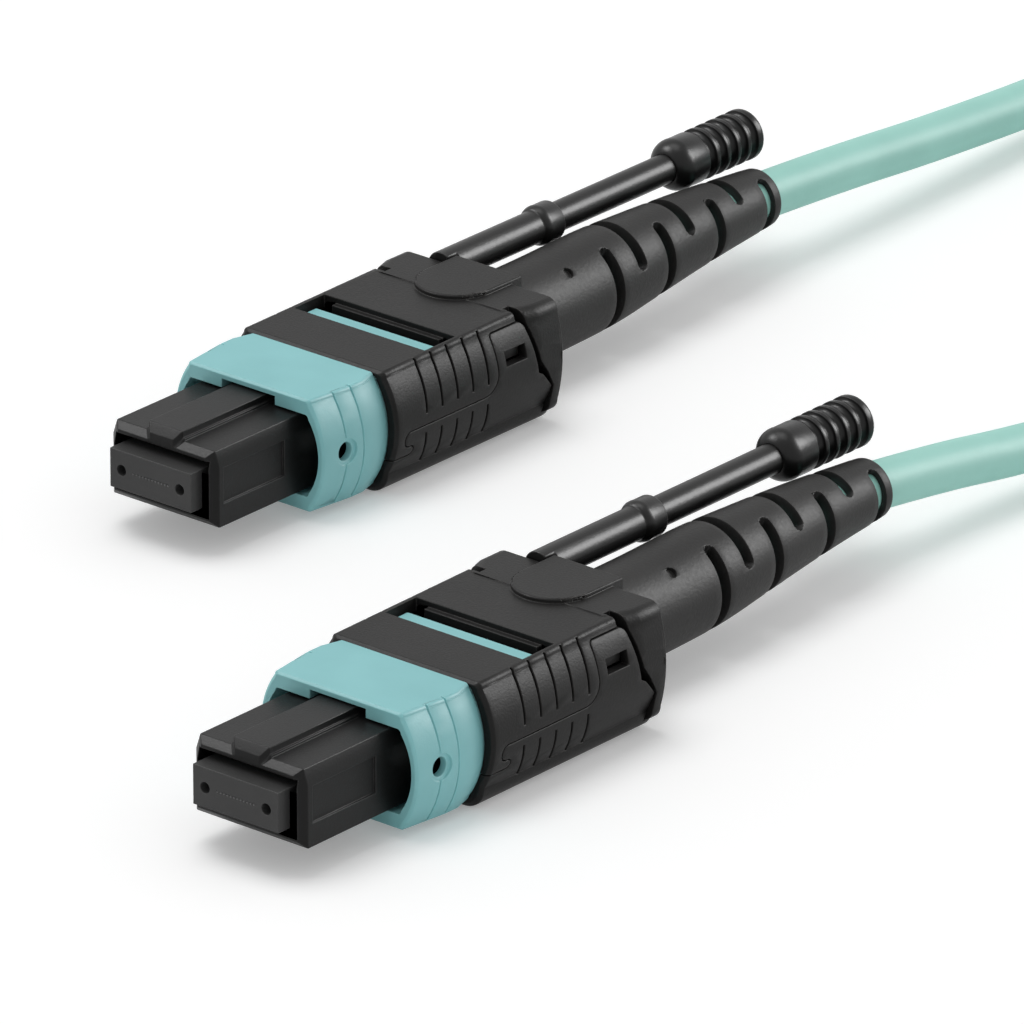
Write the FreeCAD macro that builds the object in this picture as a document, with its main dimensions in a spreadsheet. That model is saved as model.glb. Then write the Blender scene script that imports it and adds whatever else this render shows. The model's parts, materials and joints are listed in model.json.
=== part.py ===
import FreeCAD, Part
import math
import operator
import os
from types import SimpleNamespace

import Sketcher
from FreeCAD import Placement, Rotation, Vector

# Push-pull multi-fibre patch cord: two alike connectors on one round cable.
# Connector frame: X runs back from the ferrule's front face, +Z up, Y across, axis of the ferrule at Z 0.

SIZES = {
    # ferrule
    "ferrule_length": 8.0,
    "ferrule_width": 6.4,
    "ferrule_height": 2.5,
    "ferrule_flange_length": 2.0,
    "ferrule_flange_width": 7.0,
    "ferrule_flange_height": 3.0,
    "guide_bore": 0.7,
    "guide_pitch": 4.6,
    "fibre_hold": 3.0,
    "fibre_count": 12,
    "fibre_pitch": 0.25,
    "fibre_width": 0.125,
    "fibre_bore": 0.17,
    "ferrule_chamber_width": 3.5,
    "ferrule_chamber_height": 1.3,
    "glue_window_start": 3.2,
    "glue_window_length": 1.8,
    "glue_window_width": 2.6,
    # fibre ribbon and its boot
    "ribbon_width": 3.0,
    "ribbon_thick": 0.25,
    "ribbon_gap": 0.03,
    "ribbon_end": 26.8,
    "sleeve_in": 3.0,
    "sleeve_gap": 0.05,
    # pin clamp
    "clamp_length": 2.0,
    "clamp_width": 6.8,
    "clamp_height": 2.9,
    "clamp_boss_length": 0.7,
    "clamp_boss_width": 4.2,
    "clamp_boss_height": 1.7,
    "clamp_passage_width": 3.3,
    "clamp_passage_height": 0.7,
    # inner housing
    "housing_start": 1.0,
    "housing_bevel": 0.43,
    "housing_half": 4.2,
    "housing_top": 2.45,
    "housing_bottom": 2.4,
    "housing_edge_cut": 0.32,
    "housing_edge_drop": 0.95,
    "panel_start": 0.85,
    "panel_end": 7.3,
    "panel_top": 1.35,
    "panel_bottom": -0.95,
    "panel_depth": 0.17,
    "mouth_width": 7.38,
    "mouth_height": 3.62,
    "mouth_stop": 0.5,
    "ferrule_gap": 0.1,
    "cavity_gap": 0.1,
    "latch_start": 18.2,
    "latch_length": 2.2,
    "latch_height": 1.6,
    "key_half": 1.34,
    "key_top": 3.05,
    "key_foot": 1.9,
    "key_back": 13.0,
    "key_nose": 0.42,
    "key_nose_drop": 0.55,
    "key_foot_width": 0.14,
    "key_foot_top": 2.62,
    "stop_length": 0.9,
    "stop_proud": 0.35,
    "stop_height": 1.6,
    "stop_gap": 0.05,
    # spring push
    "push_start": 17.0,
    "push_block_length": 4.0,
    "latch_gap": 0.1,
    "latch_proud": 0.5,
    "collar_length": 1.5,
    "collar_gap": 0.1,
    "collar_height": 4.8,
    "ear_height": 1.2,
    "neck_width": 4.4,
    "neck_length": 4.5,
    "push_passage_width": 3.5,
    "push_passage_height": 1.2,
    # springs
    "ferrule_spring_wire": 0.35,
    "ferrule_spring_width": 5.6,
    "ferrule_spring_height": 3.0,
    "ferrule_spring_turns": 6,
    "coupling_spring_wire": 0.18,
    "coupling_spring_width": 1.1,
    "coupling_spring_turns": 9,
    "coupling_spring_gap": 0.05,
    # coupling
    "coupling_start": 8.85,
    "coupling_lip": 1.0,
    "coupling_top": 3.58,
    "coupling_bottom": 3.7,
    "coupling_corner": 4.85,
    "coupling_side": 5.95,
    "coupling_swell": 0.3,
    "coupling_spread": 0.4,
    "coupling_bevel": 0.15,
    "coupling_round": 0.25,
    "coupling_shoulder": 13.3,
    "coupling_neck_top": 3.28,
    "coupling_neck_corner": 5.0,
    "coupling_neck_side": 5.9,
    "coupling_end": 20.65,
    "mouth_corner": 4.72,
    "mouth_side": 5.5,
    "guide_start": 15.0,
    "guide_gap": 0.1,
    "key_notch_half": 2.1,
    "key_notch_top": 3.15,
    "spring_seat": 15.8,
    "spring_channel_gap": 0.1,
    "side_hole": 1.2,
    "side_rim": 1.7,
    "side_rim_depth": 0.15,
    "side_hole_at": 10.8,
    "parting_line": 0.12,
    "parting_depth": 0.1,
    "second_line_at": 12.2,
    # tab shells
    "shell_start": 14.72,
    "shell_end": 30.0,
    "shell_bevel": 0.2,
    "shell_top": 3.7,
    "shell_rise": 0.15,
    "shell_bottom": 4.3,
    "shell_corner": 5.65,
    "shell_side": 6.65,
    "shell_flat": 4.3,
    "shell_round": 0.35,
    "shell_low_round": 1.5,
    "shell_fit": 0.04,
    "room_top": 3.3,
    "room_bottom": 3.5,
    "room_corner": 5.15,
    "room_side": 5.95,
    "room_flat": 3.6,
    "room_end": 27.4,
    "flange_start": 26.5,
    "flange_swell": 28.4,
    "flange_end": 30.3,
    "flange_corner": 6.25,
    "flange_side": 6.65,
    "flange_foot": 3.5,
    "flange_round": 0.8,
    "flange_bevel": 0.15,
    "boot_clearance": 0.12,
    "seam_gap": 0.07,
    "seam_height": -0.2,
    "hook_foot": -1.85,
    "hook_back": 16.5,
    "hook_thick": 0.55,
    "hook_throat": 16.1,
    "tongue_start": 24.2,
    "tongue_top": 3.3,
    "tongue_end": 27.4,
    "tongue_waist": 28.0,
    "tongue_waist_height": -0.14,
    "tongue_step": 28.4,
    "tongue_step_height": -0.35,
    "tongue_belly": 29.5,
    "tongue_belly_height": -1.5,
    "tongue_foot": 29.4,
    "tongue_gap": 0.2,
    "tongue_sweep": 1.3,
    "tongue_corner": 0.3,
    "tongue_round": 0.6,
    "tongue_gap_depth": 1.0,
    "window_start": 19.0,
    "window_end": 21.8,
    "window_half": 5.2,
    "sill_depth": 0.4,
    "sill_half": 4.25,
    "sill_drop": 0.3,
    "sill_thick": 0.6,
    "rib_count": 5,
    "rib_start": 17.6,
    "rib_pitch": 1.43,
    "rib_width": 0.16,
    "rib_depth": 0.28,
    "rib_lean": -0.15,
    "rib_foot": 0.5,
    "rib_low_lean": 0.35,
    "rib_low_top": -0.75,
    "rib_low_foot": -2.9,
    "tongue_window_start": 25.0,
    "tongue_window_length": 1.9,
    "tongue_window_bottom": 1.1,
    "tongue_window_height": 0.92,
    "catch_gap": 0.15,
    "catch_leg_start": 4.5,
    "catch_leg": 0.55,
    "catch_proud": 0.95,
    "nub_start": 16.5,
    "nub_length": 1.0,
    "nub_half": 1.9,
    "nub_height": 0.3,
    "nub_gap": 0.05,
    # round pad and pull rod
    "pad_radius": 2.6,
    "pad_middle": 28.1,
    "pad_end": 31.1,
    "pad_foot": 3.3,
    "pad_top": 4.12,
    "pad_round": 0.15,
    "rod_side": 3.2,
    "rod_height": 3.3,
    "rod_width": 2.1,
    "rod_thin": 1.9,
    "tenon_length": 1.8,
    "tenon_width": 1.0,
    "tenon_height": 0.65,
    "root_gap": 0.05,
    "bead_start": 38.95,
    "bead_end": 40.65,
    "bead_width": 2.55,
    "bead_rim": 0.35,
    "grip_start": 51.6,
    "grip_end": 59.5,
    "grip_width": 3.3,
    "grip_dome": 1.3,
    "grip_rib_start": 54.5,
    "grip_ribs": 5,
    "grip_groove_depth": 0.34,
    "grip_groove": 0.68,
    "grip_wall": 1.2,
    "grip_gap": 0.02,
    "grip_round": 0.3,
    # crimp ring
    "crimp_start": 22.7,
    "crimp_length": 4.5,
    "crimp_width": 5.4,
    "crimp_gap": 0.1,
    "crimp_step": 0.6,
    "crimp_tail": 2.7,
    "crimp_tail_width": 4.0,
    # boot and cable
    "cable_width": 3.0,
    "cable_gap": 0.03,
    "boot_start": 25.0,
    "boot_end": 57.0,
    "boot_width": 6.3,
    "boot_straight": 41.0,
    "boot_end_width": 3.8,
    "boot_room_end": 30.7,
    "boot_gap": 0.03,
    "boot_end_round": 0.25,
    "slot_width": 0.85,
    "side_slots": 4,
    "side_slot_floor": 1.5,
    "side_slot_step": -0.2,
    "side_slot_at": 39.9,
    "upright_slots": 3,
    "upright_slot_floor": 0.75,
    "upright_slot_step": 0.28,
    "upright_slot_at": 42.35,
    "slot_pitch": 5.3,
    "dimple_at": 36.3,
    "dimple_side": -1.85,
    "dimple_width": 0.7,
    "dimple_floor": 1.95,
    # the two ends
    "ends_apart_x": 31.4,
    "ends_apart_y": 34.2,
    # coil and tie
    "coil_x": 101.75,
    "coil_y": -5.5,
    "coil_mean": 18.0,
    "coil_turns": 6.5,
    "coil_pitch": 3.5,
    "coil_height": 2.4,
    "coil_end": 3.0,
    "tie_width": 5.0,
    "tie_thick": 0.5,
    "tie_gap": 0.3,
    "tie_side_gap": 0.5,
    "tie_round": 2.0,
    "tie_inner_round": 1.5,
}

SIGNS = {"+": operator.add, "-": operator.sub, "*": operator.mul, "/": operator.truediv}


class Size:
    """A number together with its formula in the sheet."""

    def __init__(self, number, text=None):
        self.number = number
        self.text = text or repr(number)

    def joined(self, sign, other, swap=False):
        other = sized(other)
        first, second = (other, self) if swap else (self, other)
        return Size(SIGNS[sign](first.number, second.number), f"({first.text} {sign} {second.text})")

    def __add__(self, other):
        return self.joined("+", other)

    def __radd__(self, other):
        return self.joined("+", other, swap=True)

    def __sub__(self, other):
        return self.joined("-", other)

    def __rsub__(self, other):
        return self.joined("-", other, swap=True)

    def __mul__(self, other):
        return self.joined("*", other)

    def __rmul__(self, other):
        return self.joined("*", other, swap=True)

    def __truediv__(self, other):
        return self.joined("/", other)

    def __neg__(self):
        return self.joined("-", 0.0, swap=True)


def sized(value):
    return value if isinstance(value, Size) else Size(float(value))


doc = FreeCAD.newDocument("PatchCord")
sheet = doc.addObject("Spreadsheet::Sheet", "Sizes")
for row, (alias, number) in enumerate(SIZES.items(), start=1):
    sheet.set(f"A{row}", alias)
    sheet.set(f"B{row}", str(number))
    sheet.setAlias(f"B{row}", alias)
doc.recompute()
d = SimpleNamespace(**{alias: Size(float(number), "Sizes." + alias) for alias, number in SIZES.items()})


# Building blocks

def bind(thing, **formulas):
    for prop, value in formulas.items():
        value = sized(value)
        prop = prop.replace("__", ".")
        thing.setExpression(prop, value.text)


def move(thing, x=0, y=0, z=0):
    bind(thing, Placement__Base__x=x, Placement__Base__y=y, Placement__Base__z=z)


def block(name, x, y, z):
    """Box between pairs of places along X, Y and Z."""
    box = doc.addObject("Part::Box", name)
    sides = [sized(high) - sized(low) for low, high in (x, y, z)]
    bind(box, Length=sides[0], Width=sides[1], Height=sides[2])
    move(box, x[0], y[0], z[0])
    return box


def slab(name, x, width, height, z=0):
    """Box along X, centred on Y 0 and on z."""
    return block(name, x, (-(width / 2), width / 2), (z - height / 2, z + height / 2))


def rod(name, x, width, y=0, z=0):
    """Cylinder along X of the given diameter."""
    cylinder = doc.addObject("Part::Cylinder", name)
    cylinder.Placement = Placement(Vector(), Rotation(Vector(0, 1, 0), 90))
    bind(cylinder, Radius=sized(width) / 2, Height=sized(x[1]) - sized(x[0]))
    move(cylinder, x[0], y, z)
    return cylinder


def cone(name, x, widths):
    """Cone along X between two diameters."""
    shape = doc.addObject("Part::Cone", name)
    shape.Placement = Placement(Vector(), Rotation(Vector(0, 1, 0), 90))
    bind(shape, Radius1=widths[0] / 2, Radius2=widths[1] / 2, Height=x[1] - x[0])
    move(shape, x[0])
    return shape


def via(u, v):
    """Middle point of an arc in an outline."""
    return ("via", u, v)


def mirrored(right):
    """Closed outline from its right half, listed from the top down."""
    left = [("via", -corner[1], corner[2]) if corner[0] == "via" else (-corner[0], corner[1])
            for corner in reversed(right)]
    return right + left


TURNS = {
    "top": Rotation(),
    "side": Rotation(Vector(1, 0, 0), 90),
    "section": Rotation(0.5, 0.5, 0.5, 0.5),
}


def pin(sketch, geometry, spot, u, v):
    """Hold one point of a sketch at u, v."""
    for kind, value in (("DistanceX", u), ("DistanceY", v)):
        value = sized(value)
        index = sketch.addConstraint(Sketcher.Constraint(kind, -1, 1, geometry, spot, value.number))
        sketch.setExpression(f"Constraints[{index}]", value.text)


def outline(name, plane, path, x=0):
    """Closed sketch through corners; a via between two corners makes the edge an arc."""
    sketch = doc.addObject("Sketcher::SketchObject", name)
    sketch.Placement = Placement(Vector(), TURNS[plane])
    bind(sketch, Placement__Base__x=x)
    corners = [index for index, spot in enumerate(path) if spot[0] != "via"]
    edges = []
    for number, index in enumerate(corners):
        after = corners[(number + 1) % len(corners)]
        bend = path[(index + 1) % len(path)]
        start, end = (Vector(sized(u).number, sized(v).number, 0) for u, v in (path[index], path[after]))
        if bend[0] == "via":
            middle = Vector(sized(bend[1]).number, sized(bend[2]).number, 0)
            arc = Part.Arc(start, middle, end)
            edge = sketch.addGeometry(arc, False)
            forward = sketch.getPoint(edge, 1).distanceToPoint(start) < 1e-6
            dot = sketch.addGeometry(Part.Point(middle), True)
            pin(sketch, dot, 1, bend[1], bend[2])
            sketch.addConstraint(Sketcher.Constraint("PointOnObject", dot, 1, edge))
        else:
            edge = sketch.addGeometry(Part.LineSegment(start, end), False)
            forward = True
        edges.append((edge, 1 if forward else 2, 2 if forward else 1))
    for number, index in enumerate(corners):
        edge, first, _ = edges[number]
        before, _, last = edges[number - 1]
        sketch.addConstraint(Sketcher.Constraint("Coincident", before, last, edge, first))
        pin(sketch, edge, first, path[index][0], path[index][1])
    return sketch


def extrude(name, sketch, length):
    """Solid of a sketch, half of its length on each side of the sketch."""
    solid = doc.addObject("Part::Extrusion", name)
    solid.Base = sketch
    solid.DirMode = "Normal"
    solid.Solid = True
    solid.Symmetric = True
    bind(solid, LengthFwd=length)
    return solid


def revolve(name, sketch):
    """Solid of a sketch turned about the X axis."""
    solid = doc.addObject("Part::Revolution", name)
    solid.Source = sketch
    solid.Axis = Vector(1, 0, 0)
    solid.Angle = 360
    solid.Solid = True
    return solid


def loft(name, sections):
    solid = doc.addObject("Part::Loft", name)
    solid.Sections = sections
    solid.Solid = True
    solid.Ruled = True
    return solid


def fuse(name, *pieces):
    joined = doc.addObject("Part::MultiFuse", name)
    joined.Shapes = list(pieces)
    joined.Refine = True
    return joined


def cut(name, base, *tools):
    tool = tools[0] if len(tools) == 1 else fuse(name + "_tools", *tools)
    result = doc.addObject("Part::Cut", name)
    result.Base = base
    result.Tool = tool
    return result


def overlap(name, first, second):
    result = doc.addObject("Part::Common", name)
    result.Base = first
    result.Tool = second
    return result


def both_sides(name, source):
    """The piece and its mirror image across Y 0."""
    far = doc.addObject("Part::Mirroring", name + "_far")
    far.Source = source
    far.Normal = Vector(0, 1, 0)
    return fuse(name, source, far)


def barrel(name, x, top, bottom, corner, side, flat, round_top, round_low, grow=0):
    """Section across the plug: flat top and bottom, bulging sides and rounded corners."""
    corner, side, flat = corner + grow, side + grow, flat + grow
    top, bottom = top + grow, -(bottom + grow)
    round_off = 1 - math.sqrt(0.5)
    low_side = flat + round_low
    right = [
        (corner - round_top, top),
        via(corner - round_top * round_off, top - round_top * round_off),
        (corner, top - round_top),
        via(side, (top + bottom) / 2),
        (low_side, bottom + round_low),
        via(low_side - round_low * round_off, bottom + round_low * round_off),
        (flat, bottom),
    ]
    return outline(name, "section", mirrored(right), x)


def pieces_along(name, count, make):
    """Fuse of count alike tools, made one by one."""
    return fuse(name, *[make(f"{name}_{number + 1}", number) for number in range(count)])


# Wound forms

def biarc(first, first_way, last, last_way):
    """Two tangent arcs from one point and direction to another."""
    span = last - first
    ways = first_way + last_way
    a = 2 * (first_way.dot(last_way) - 1)
    b = -2 * span.dot(ways)
    c = span.dot(span)
    reach = 2 * c / (-b + math.sqrt(b * b - 4 * a * c))
    middle = (first + last + (first_way - last_way) * reach) / 2
    return [arc_from(first, first_way, middle), arc_from(last, -last_way, middle)[::-1]]


def arc_from(start, way, end):
    """Start, middle and end of the arc that leaves start along way."""
    chord = end - start
    half_turn = way.getAngle(chord)
    side = way - chord.normalize() * way.dot(chord)
    middle = (start + end) / 2
    if side.Length > 1e-9:
        middle = middle + side.normalize() * (end - start).Length / 2 * math.tan(half_turn / 2)
    return [start, middle, end]


def wound_path(points, ways):
    """Edges of tangent arcs through the points."""
    edges = []
    for (first, first_way), (last, last_way) in zip(zip(points, ways), zip(points[1:], ways[1:])):
        for start, middle, end in biarc(first, first_way, last, last_way):
            edges.append(Part.Arc(start, middle, end).toShape())
    return edges


def pipe(edges, way, width):
    """Round tube along a path that starts along way."""
    ring = Part.Wire(Part.Circle(edges[0].Vertexes[0].Point, way, width / 2).toShape())
    return Part.Wire(edges).makePipeShell([ring], True, False)


def curve_of(place, start, end, count):
    """Points and unit directions at equal steps of a curve given by a function."""
    steps = [start + (end - start) * number / count for number in range(count + 1)]
    tiny = 1e-4
    ways = [(place(step + tiny) - place(step - tiny)).normalize() for step in steps]
    return [place(step) for step in steps], ways


def self_gap(edges, width, along):
    """Least gap between stretches of a wound tube that are at least 'along' apart on it."""
    points, travel = [], []
    total = 0.0
    for edge in edges:
        spots = edge.discretize(8)[:-1]
        points += spots
        travel += [total + edge.Length * number / 7 for number in range(7)]
        total += edge.Length
    return min((first.distanceToPoint(second) for number, first in enumerate(points)
                for other, second in enumerate(points[:number]) if travel[number] - travel[other] > along),
               default=0.0) - width


def feature(name, shape):
    thing = doc.addObject("Part::Feature", name)
    thing.Shape = shape
    return thing


OVER = 1.0  # how far a cutting tool reaches past what it cuts


# Pieces of one connector

def fibre_row(name, x, width):
    """One rod for each fibre, side by side across the ferrule."""
    count = SIZES["fibre_count"]
    return [rod(f"{name}_{number + 1}", x, width, y=(number - (count - 1) / 2) * d.fibre_pitch)
            for number in range(count)]


def make_ferrule():
    nose = slab("ferrule_nose", (0, d.ferrule_length), d.ferrule_width, d.ferrule_height)
    flange = slab("ferrule_flange", (d.ferrule_length - d.ferrule_flange_length, d.ferrule_length),
                  d.ferrule_flange_width, d.ferrule_flange_height)
    through = (-OVER, d.ferrule_length + OVER)
    bores = [rod(f"guide_bore_{name}", through, d.guide_bore, y=side * d.guide_pitch / 2)
             for name, side in (("left", 1), ("right", -1))]
    fibre_bores = fibre_row("ferrule_fibre_bore", (-OVER, d.fibre_hold + OVER), d.fibre_bore)
    chamber = slab("ferrule_chamber", (d.fibre_hold, d.ferrule_length + OVER),
                   d.ferrule_chamber_width, d.ferrule_chamber_height)
    window = block("ferrule_glue_window",
                   (d.glue_window_start, d.glue_window_start + d.glue_window_length),
                   (-d.glue_window_width / 2, d.glue_window_width / 2),
                   (0, d.ferrule_height / 2 + OVER))
    return cut("ferrule", fuse("ferrule_block", nose, flange), *bores, *fibre_bores, chamber, window)


def make_fibre_ribbon():
    """Flat ribbon whose bare fibres run on to the ferrule's face."""
    ribbon = slab("ribbon_band", (d.fibre_hold + d.ribbon_gap, d.ribbon_end), d.ribbon_width, d.ribbon_thick)
    fibres = fibre_row("bare_fibre", (0, d.fibre_hold + OVER), d.fibre_width)
    return fuse("fibre_ribbon", ribbon, *fibres)


def make_ferrule_boot():
    start = d.ferrule_length - d.sleeve_in
    end = d.ferrule_length + d.clamp_length - d.ferrule_gap
    sleeve = slab("sleeve_outside", (start, end),
                  d.ferrule_chamber_width - 2 * d.sleeve_gap, d.ferrule_chamber_height - 2 * d.sleeve_gap)
    passage = slab("sleeve_passage", (start - OVER, end + OVER),
                   d.ribbon_width + 2 * d.ribbon_gap, d.ribbon_thick + 2 * d.ribbon_gap)
    return cut("ferrule_boot", sleeve, passage)


def make_pin_clamp():
    front = d.ferrule_length
    back = front + d.clamp_length
    plate = slab("clamp_plate", (front, back), d.clamp_width, d.clamp_height)
    half = d.clamp_boss_height / 2
    flat = d.clamp_boss_width / 2 - half
    oval = outline("clamp_boss_oval", "section",
                   mirrored([(flat, half), via(flat + half, 0), (flat, -half)]), back)
    boss = extrude("clamp_boss", oval, 2 * d.clamp_boss_length)
    sleeve_room = slab("clamp_sleeve_room", (front - OVER, back),
                       d.ferrule_chamber_width, d.ferrule_chamber_height)
    passage = slab("clamp_passage", (front, back + d.clamp_boss_length + OVER),
                   d.clamp_passage_width, d.clamp_passage_height)
    return cut("pin_clamp", fuse("clamp_block", plate, boss), sleeve_room, passage)


def helix(name, x, width, height, y, wire, turns):
    """Oval spring wound along X between two faces."""
    start, end = x[0] + wire / 2, x[1] - wire / 2
    across, up = (width - wire) / 2, (height - wire) / 2

    def place(turn):
        angle = 2 * math.pi * turn
        return Vector(start + (end - start) * turn / turns,
                      y + across * math.cos(angle), up * math.sin(angle))

    points, ways = curve_of(place, 0, turns, 8 * turns)
    edges = wound_path(points, ways)
    print(f"{name}: least gap between turns {self_gap(edges, wire, width):.2f} mm")
    return feature(name, pipe(edges, ways[0], wire))


def make_ferrule_spring():
    return helix("ferrule_spring", (SIZES["ferrule_length"] + SIZES["clamp_length"], SIZES["push_start"]),
                 SIZES["ferrule_spring_width"], SIZES["ferrule_spring_height"], 0.0,
                 SIZES["ferrule_spring_wire"], SIZES["ferrule_spring_turns"])


def coupling_spring_at():
    """How far the coupling springs lie from the middle: beside the inner housing."""
    return d.housing_half + d.coupling_spring_gap + d.coupling_spring_width / 2


def make_coupling_spring(name, side):
    return helix(name, (SIZES["spring_seat"], SIZES["push_start"] + SIZES["push_block_length"]),
                 SIZES["coupling_spring_width"], SIZES["coupling_spring_width"],
                 side * coupling_spring_at().number,
                 SIZES["coupling_spring_wire"], SIZES["coupling_spring_turns"])


def housing_section(name, x, grow=0):
    half, top, bottom = d.housing_half + grow, d.housing_top + grow, d.housing_bottom + grow
    right = [(half - d.housing_edge_cut, top), (half, top - d.housing_edge_drop), (half, -bottom)]
    return outline(name, "section", mirrored(right), x)


def key_section(name, x, half, top):
    foot_half, foot_top = half + d.key_foot_width, top - d.key_top + d.key_foot_top
    right = [(half, top), (half, foot_top), (foot_half, foot_top), (foot_half, d.key_foot)]
    return outline(name, "section", mirrored(right), x)


def make_inner_housing():
    start, end = d.housing_start, d.push_start + d.push_block_length
    outside = loft("housing_outside", [
        housing_section("housing_front", start, -d.housing_bevel),
        housing_section("housing_bevel_end", start + d.housing_bevel),
        housing_section("housing_back", end),
    ])
    nose_half = d.key_half - d.key_nose
    key = loft("housing_key", [
        key_section("key_front", start, nose_half, d.key_top - d.key_nose_drop),
        key_section("key_full", start + d.key_nose, d.key_half, d.key_top),
        key_section("key_end", d.key_back, d.key_half, d.key_top),
    ])
    stop_end = d.guide_start - d.stop_gap
    stops = slab("housing_stops", (stop_end - d.stop_length, stop_end),
                 2 * (d.housing_half + d.stop_proud), d.stop_height)
    flange_front = d.ferrule_length - d.ferrule_flange_length
    mouth = slab("housing_mouth", (start - OVER, flange_front - d.mouth_stop), d.mouth_width, d.mouth_height)
    guide = slab("housing_ferrule_guide", (start, flange_front + OVER),
                 d.ferrule_width + 2 * d.ferrule_gap, d.ferrule_height + 2 * d.ferrule_gap)
    cavity = slab("housing_cavity", (flange_front, end + OVER),
                  d.ferrule_flange_width + 2 * d.cavity_gap, d.ferrule_flange_height + 2 * d.cavity_gap)
    windows = slab("housing_latch_windows", (d.latch_start, d.latch_start + d.latch_length),
                   2 * (d.housing_half + OVER), d.latch_height)
    panel = block("housing_panel", (start + d.panel_start, d.panel_end),
                  (d.housing_half - d.panel_depth, d.housing_half + OVER), (d.panel_bottom, d.panel_top))
    solid = fuse("housing_solid", outside, key, stops)
    return cut("inner_housing", solid, mouth, guide, cavity, windows, both_sides("housing_panels", panel))


def make_spring_push():
    start = d.push_start
    front = start + d.push_block_length
    back = front + d.collar_length
    plug = slab("push_block", (start, front), d.ferrule_flange_width, d.ferrule_flange_height)
    latch_x = (d.latch_start + d.latch_gap, d.latch_start + d.latch_length - d.latch_gap)
    latches = slab("push_latches", latch_x, d.ferrule_flange_width + 2 * (d.cavity_gap + d.latch_proud),
                   d.latch_height - 2 * d.latch_gap)
    collar = slab("push_collar", (front, back), 2 * (d.housing_half - d.collar_gap), d.collar_height)
    ears = slab("push_ears", (front, back), 2 * coupling_spring_at() + d.coupling_spring_width, d.ear_height)
    neck = rod("push_neck", (back, back + d.neck_length), d.neck_width)
    passage = slab("push_passage", (start - OVER, back + d.neck_length + OVER),
                   d.push_passage_width, d.push_passage_height)
    return cut("spring_push", fuse("push_solid", plug, latches, collar, ears, neck), passage)


def coupling_section(name, x, spread, grow=0):
    """Section of the coupling, spread from 0 at its front to 1 at its widest."""
    corner = d.coupling_corner + spread * d.coupling_spread
    side = d.coupling_side + spread * d.coupling_swell
    return barrel(name, x, d.coupling_top, d.coupling_bottom, corner, side, corner - d.coupling_round,
                  d.coupling_round, d.coupling_round, grow)


def coupling_neck(name, x, grow=0):
    return barrel(name, x, d.coupling_neck_top, d.coupling_neck_top, d.coupling_neck_corner,
                  d.coupling_neck_side, d.coupling_neck_corner - d.coupling_round,
                  d.coupling_round, d.coupling_round, grow)


def across(name, y, width, x, z=0):
    """Cylinder along Y."""
    cylinder = doc.addObject("Part::Cylinder", name)
    cylinder.Placement = Placement(Vector(), Rotation(Vector(1, 0, 0), -90))
    bind(cylinder, Radius=sized(width) / 2, Height=sized(y[1]) - sized(y[0]))
    move(cylinder, x, y[0], z)
    return cylinder


def parting_line(name, x, inside):
    """Ring-shaped groove on both sides of the coupling at x."""
    half = d.parting_line / 2
    side = block(name + "_slab", (x - half, x + half),
                 (d.coupling_corner, d.coupling_side + d.coupling_swell + OVER),
                 (-d.coupling_top, d.coupling_top))
    return cut(name, both_sides(name + "_slabs", side), inside)


def make_coupling():
    front = d.coupling_start
    full = front + d.coupling_bevel
    neck_start = d.shell_start - d.shell_fit
    outside = loft("coupling_outside", [
        coupling_section("coupling_front", front, 0.0, -d.coupling_bevel),
        coupling_section("coupling_full", full, 0.0),
        coupling_section("coupling_wide", d.second_line_at, 1.0),
        coupling_section("coupling_shoulder_section", d.coupling_shoulder, 1.0),
        coupling_section("coupling_back", neck_start, 0.0),
    ])
    neck = loft("coupling_neck", [
        coupling_neck("coupling_neck_front", d.coupling_shoulder),
        coupling_neck("coupling_neck_back", d.coupling_end),
    ])
    mouth_top, mouth_bottom = d.coupling_top - d.coupling_lip, d.coupling_bottom - d.coupling_lip
    mouth = loft("coupling_mouth", [
        barrel(f"coupling_mouth_{name}", x, mouth_top, mouth_bottom, d.mouth_corner, d.mouth_side,
               d.mouth_corner - d.coupling_round, d.coupling_round, d.coupling_round)
        for name, x in (("front", front - OVER), ("back", d.guide_start))])
    guide = block("coupling_guide", (front, d.coupling_end + OVER),
                  (-d.housing_half - d.guide_gap, d.housing_half + d.guide_gap),
                  (-d.housing_bottom - d.guide_gap, d.housing_top + d.guide_gap))
    key_notch = block("coupling_key_notch", (front - OVER, d.guide_start),
                      (-d.key_notch_half, d.key_notch_half), (0, d.key_notch_top))
    channel_half = d.coupling_spring_width / 2 + d.spring_channel_gap
    channels = slab("coupling_spring_channels", (d.spring_seat, d.coupling_end + OVER),
                    2 * (coupling_spring_at() + channel_half), 2 * channel_half)
    half = (d.side_hole_at - full) / (d.second_line_at - full)
    rim_floor = d.coupling_side + half * d.coupling_swell - d.side_rim_depth
    holes = across("coupling_side_holes", (-rim_floor - OVER, rim_floor + OVER), d.side_hole, d.side_hole_at)
    rim = across("coupling_hole_rim", (rim_floor, rim_floor + OVER), d.side_rim, d.side_hole_at)
    inside = loft("parting_inside", [
        coupling_section("parting_front", full, 0.0, -d.parting_depth),
        coupling_section("parting_wide", d.second_line_at, 1.0, -d.parting_depth),
        coupling_section("parting_back", d.coupling_shoulder, 1.0, -d.parting_depth),
    ])
    lines = [parting_line("first_parting_line", d.side_hole_at, inside),
             parting_line("second_parting_line", d.second_line_at, inside)]
    pocket = block("coupling_nub_pocket", (d.nub_start - d.nub_gap, d.nub_start + d.nub_length + d.nub_gap),
                   (-d.nub_half - d.nub_gap, d.nub_half + d.nub_gap),
                   (-d.coupling_neck_top - OVER, -d.coupling_neck_top + d.nub_height))
    return cut("coupling", fuse("coupling_solid", outside, neck), mouth, guide, key_notch, channels,
               holes, both_sides("coupling_hole_rims", rim), *lines, pocket)


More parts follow.
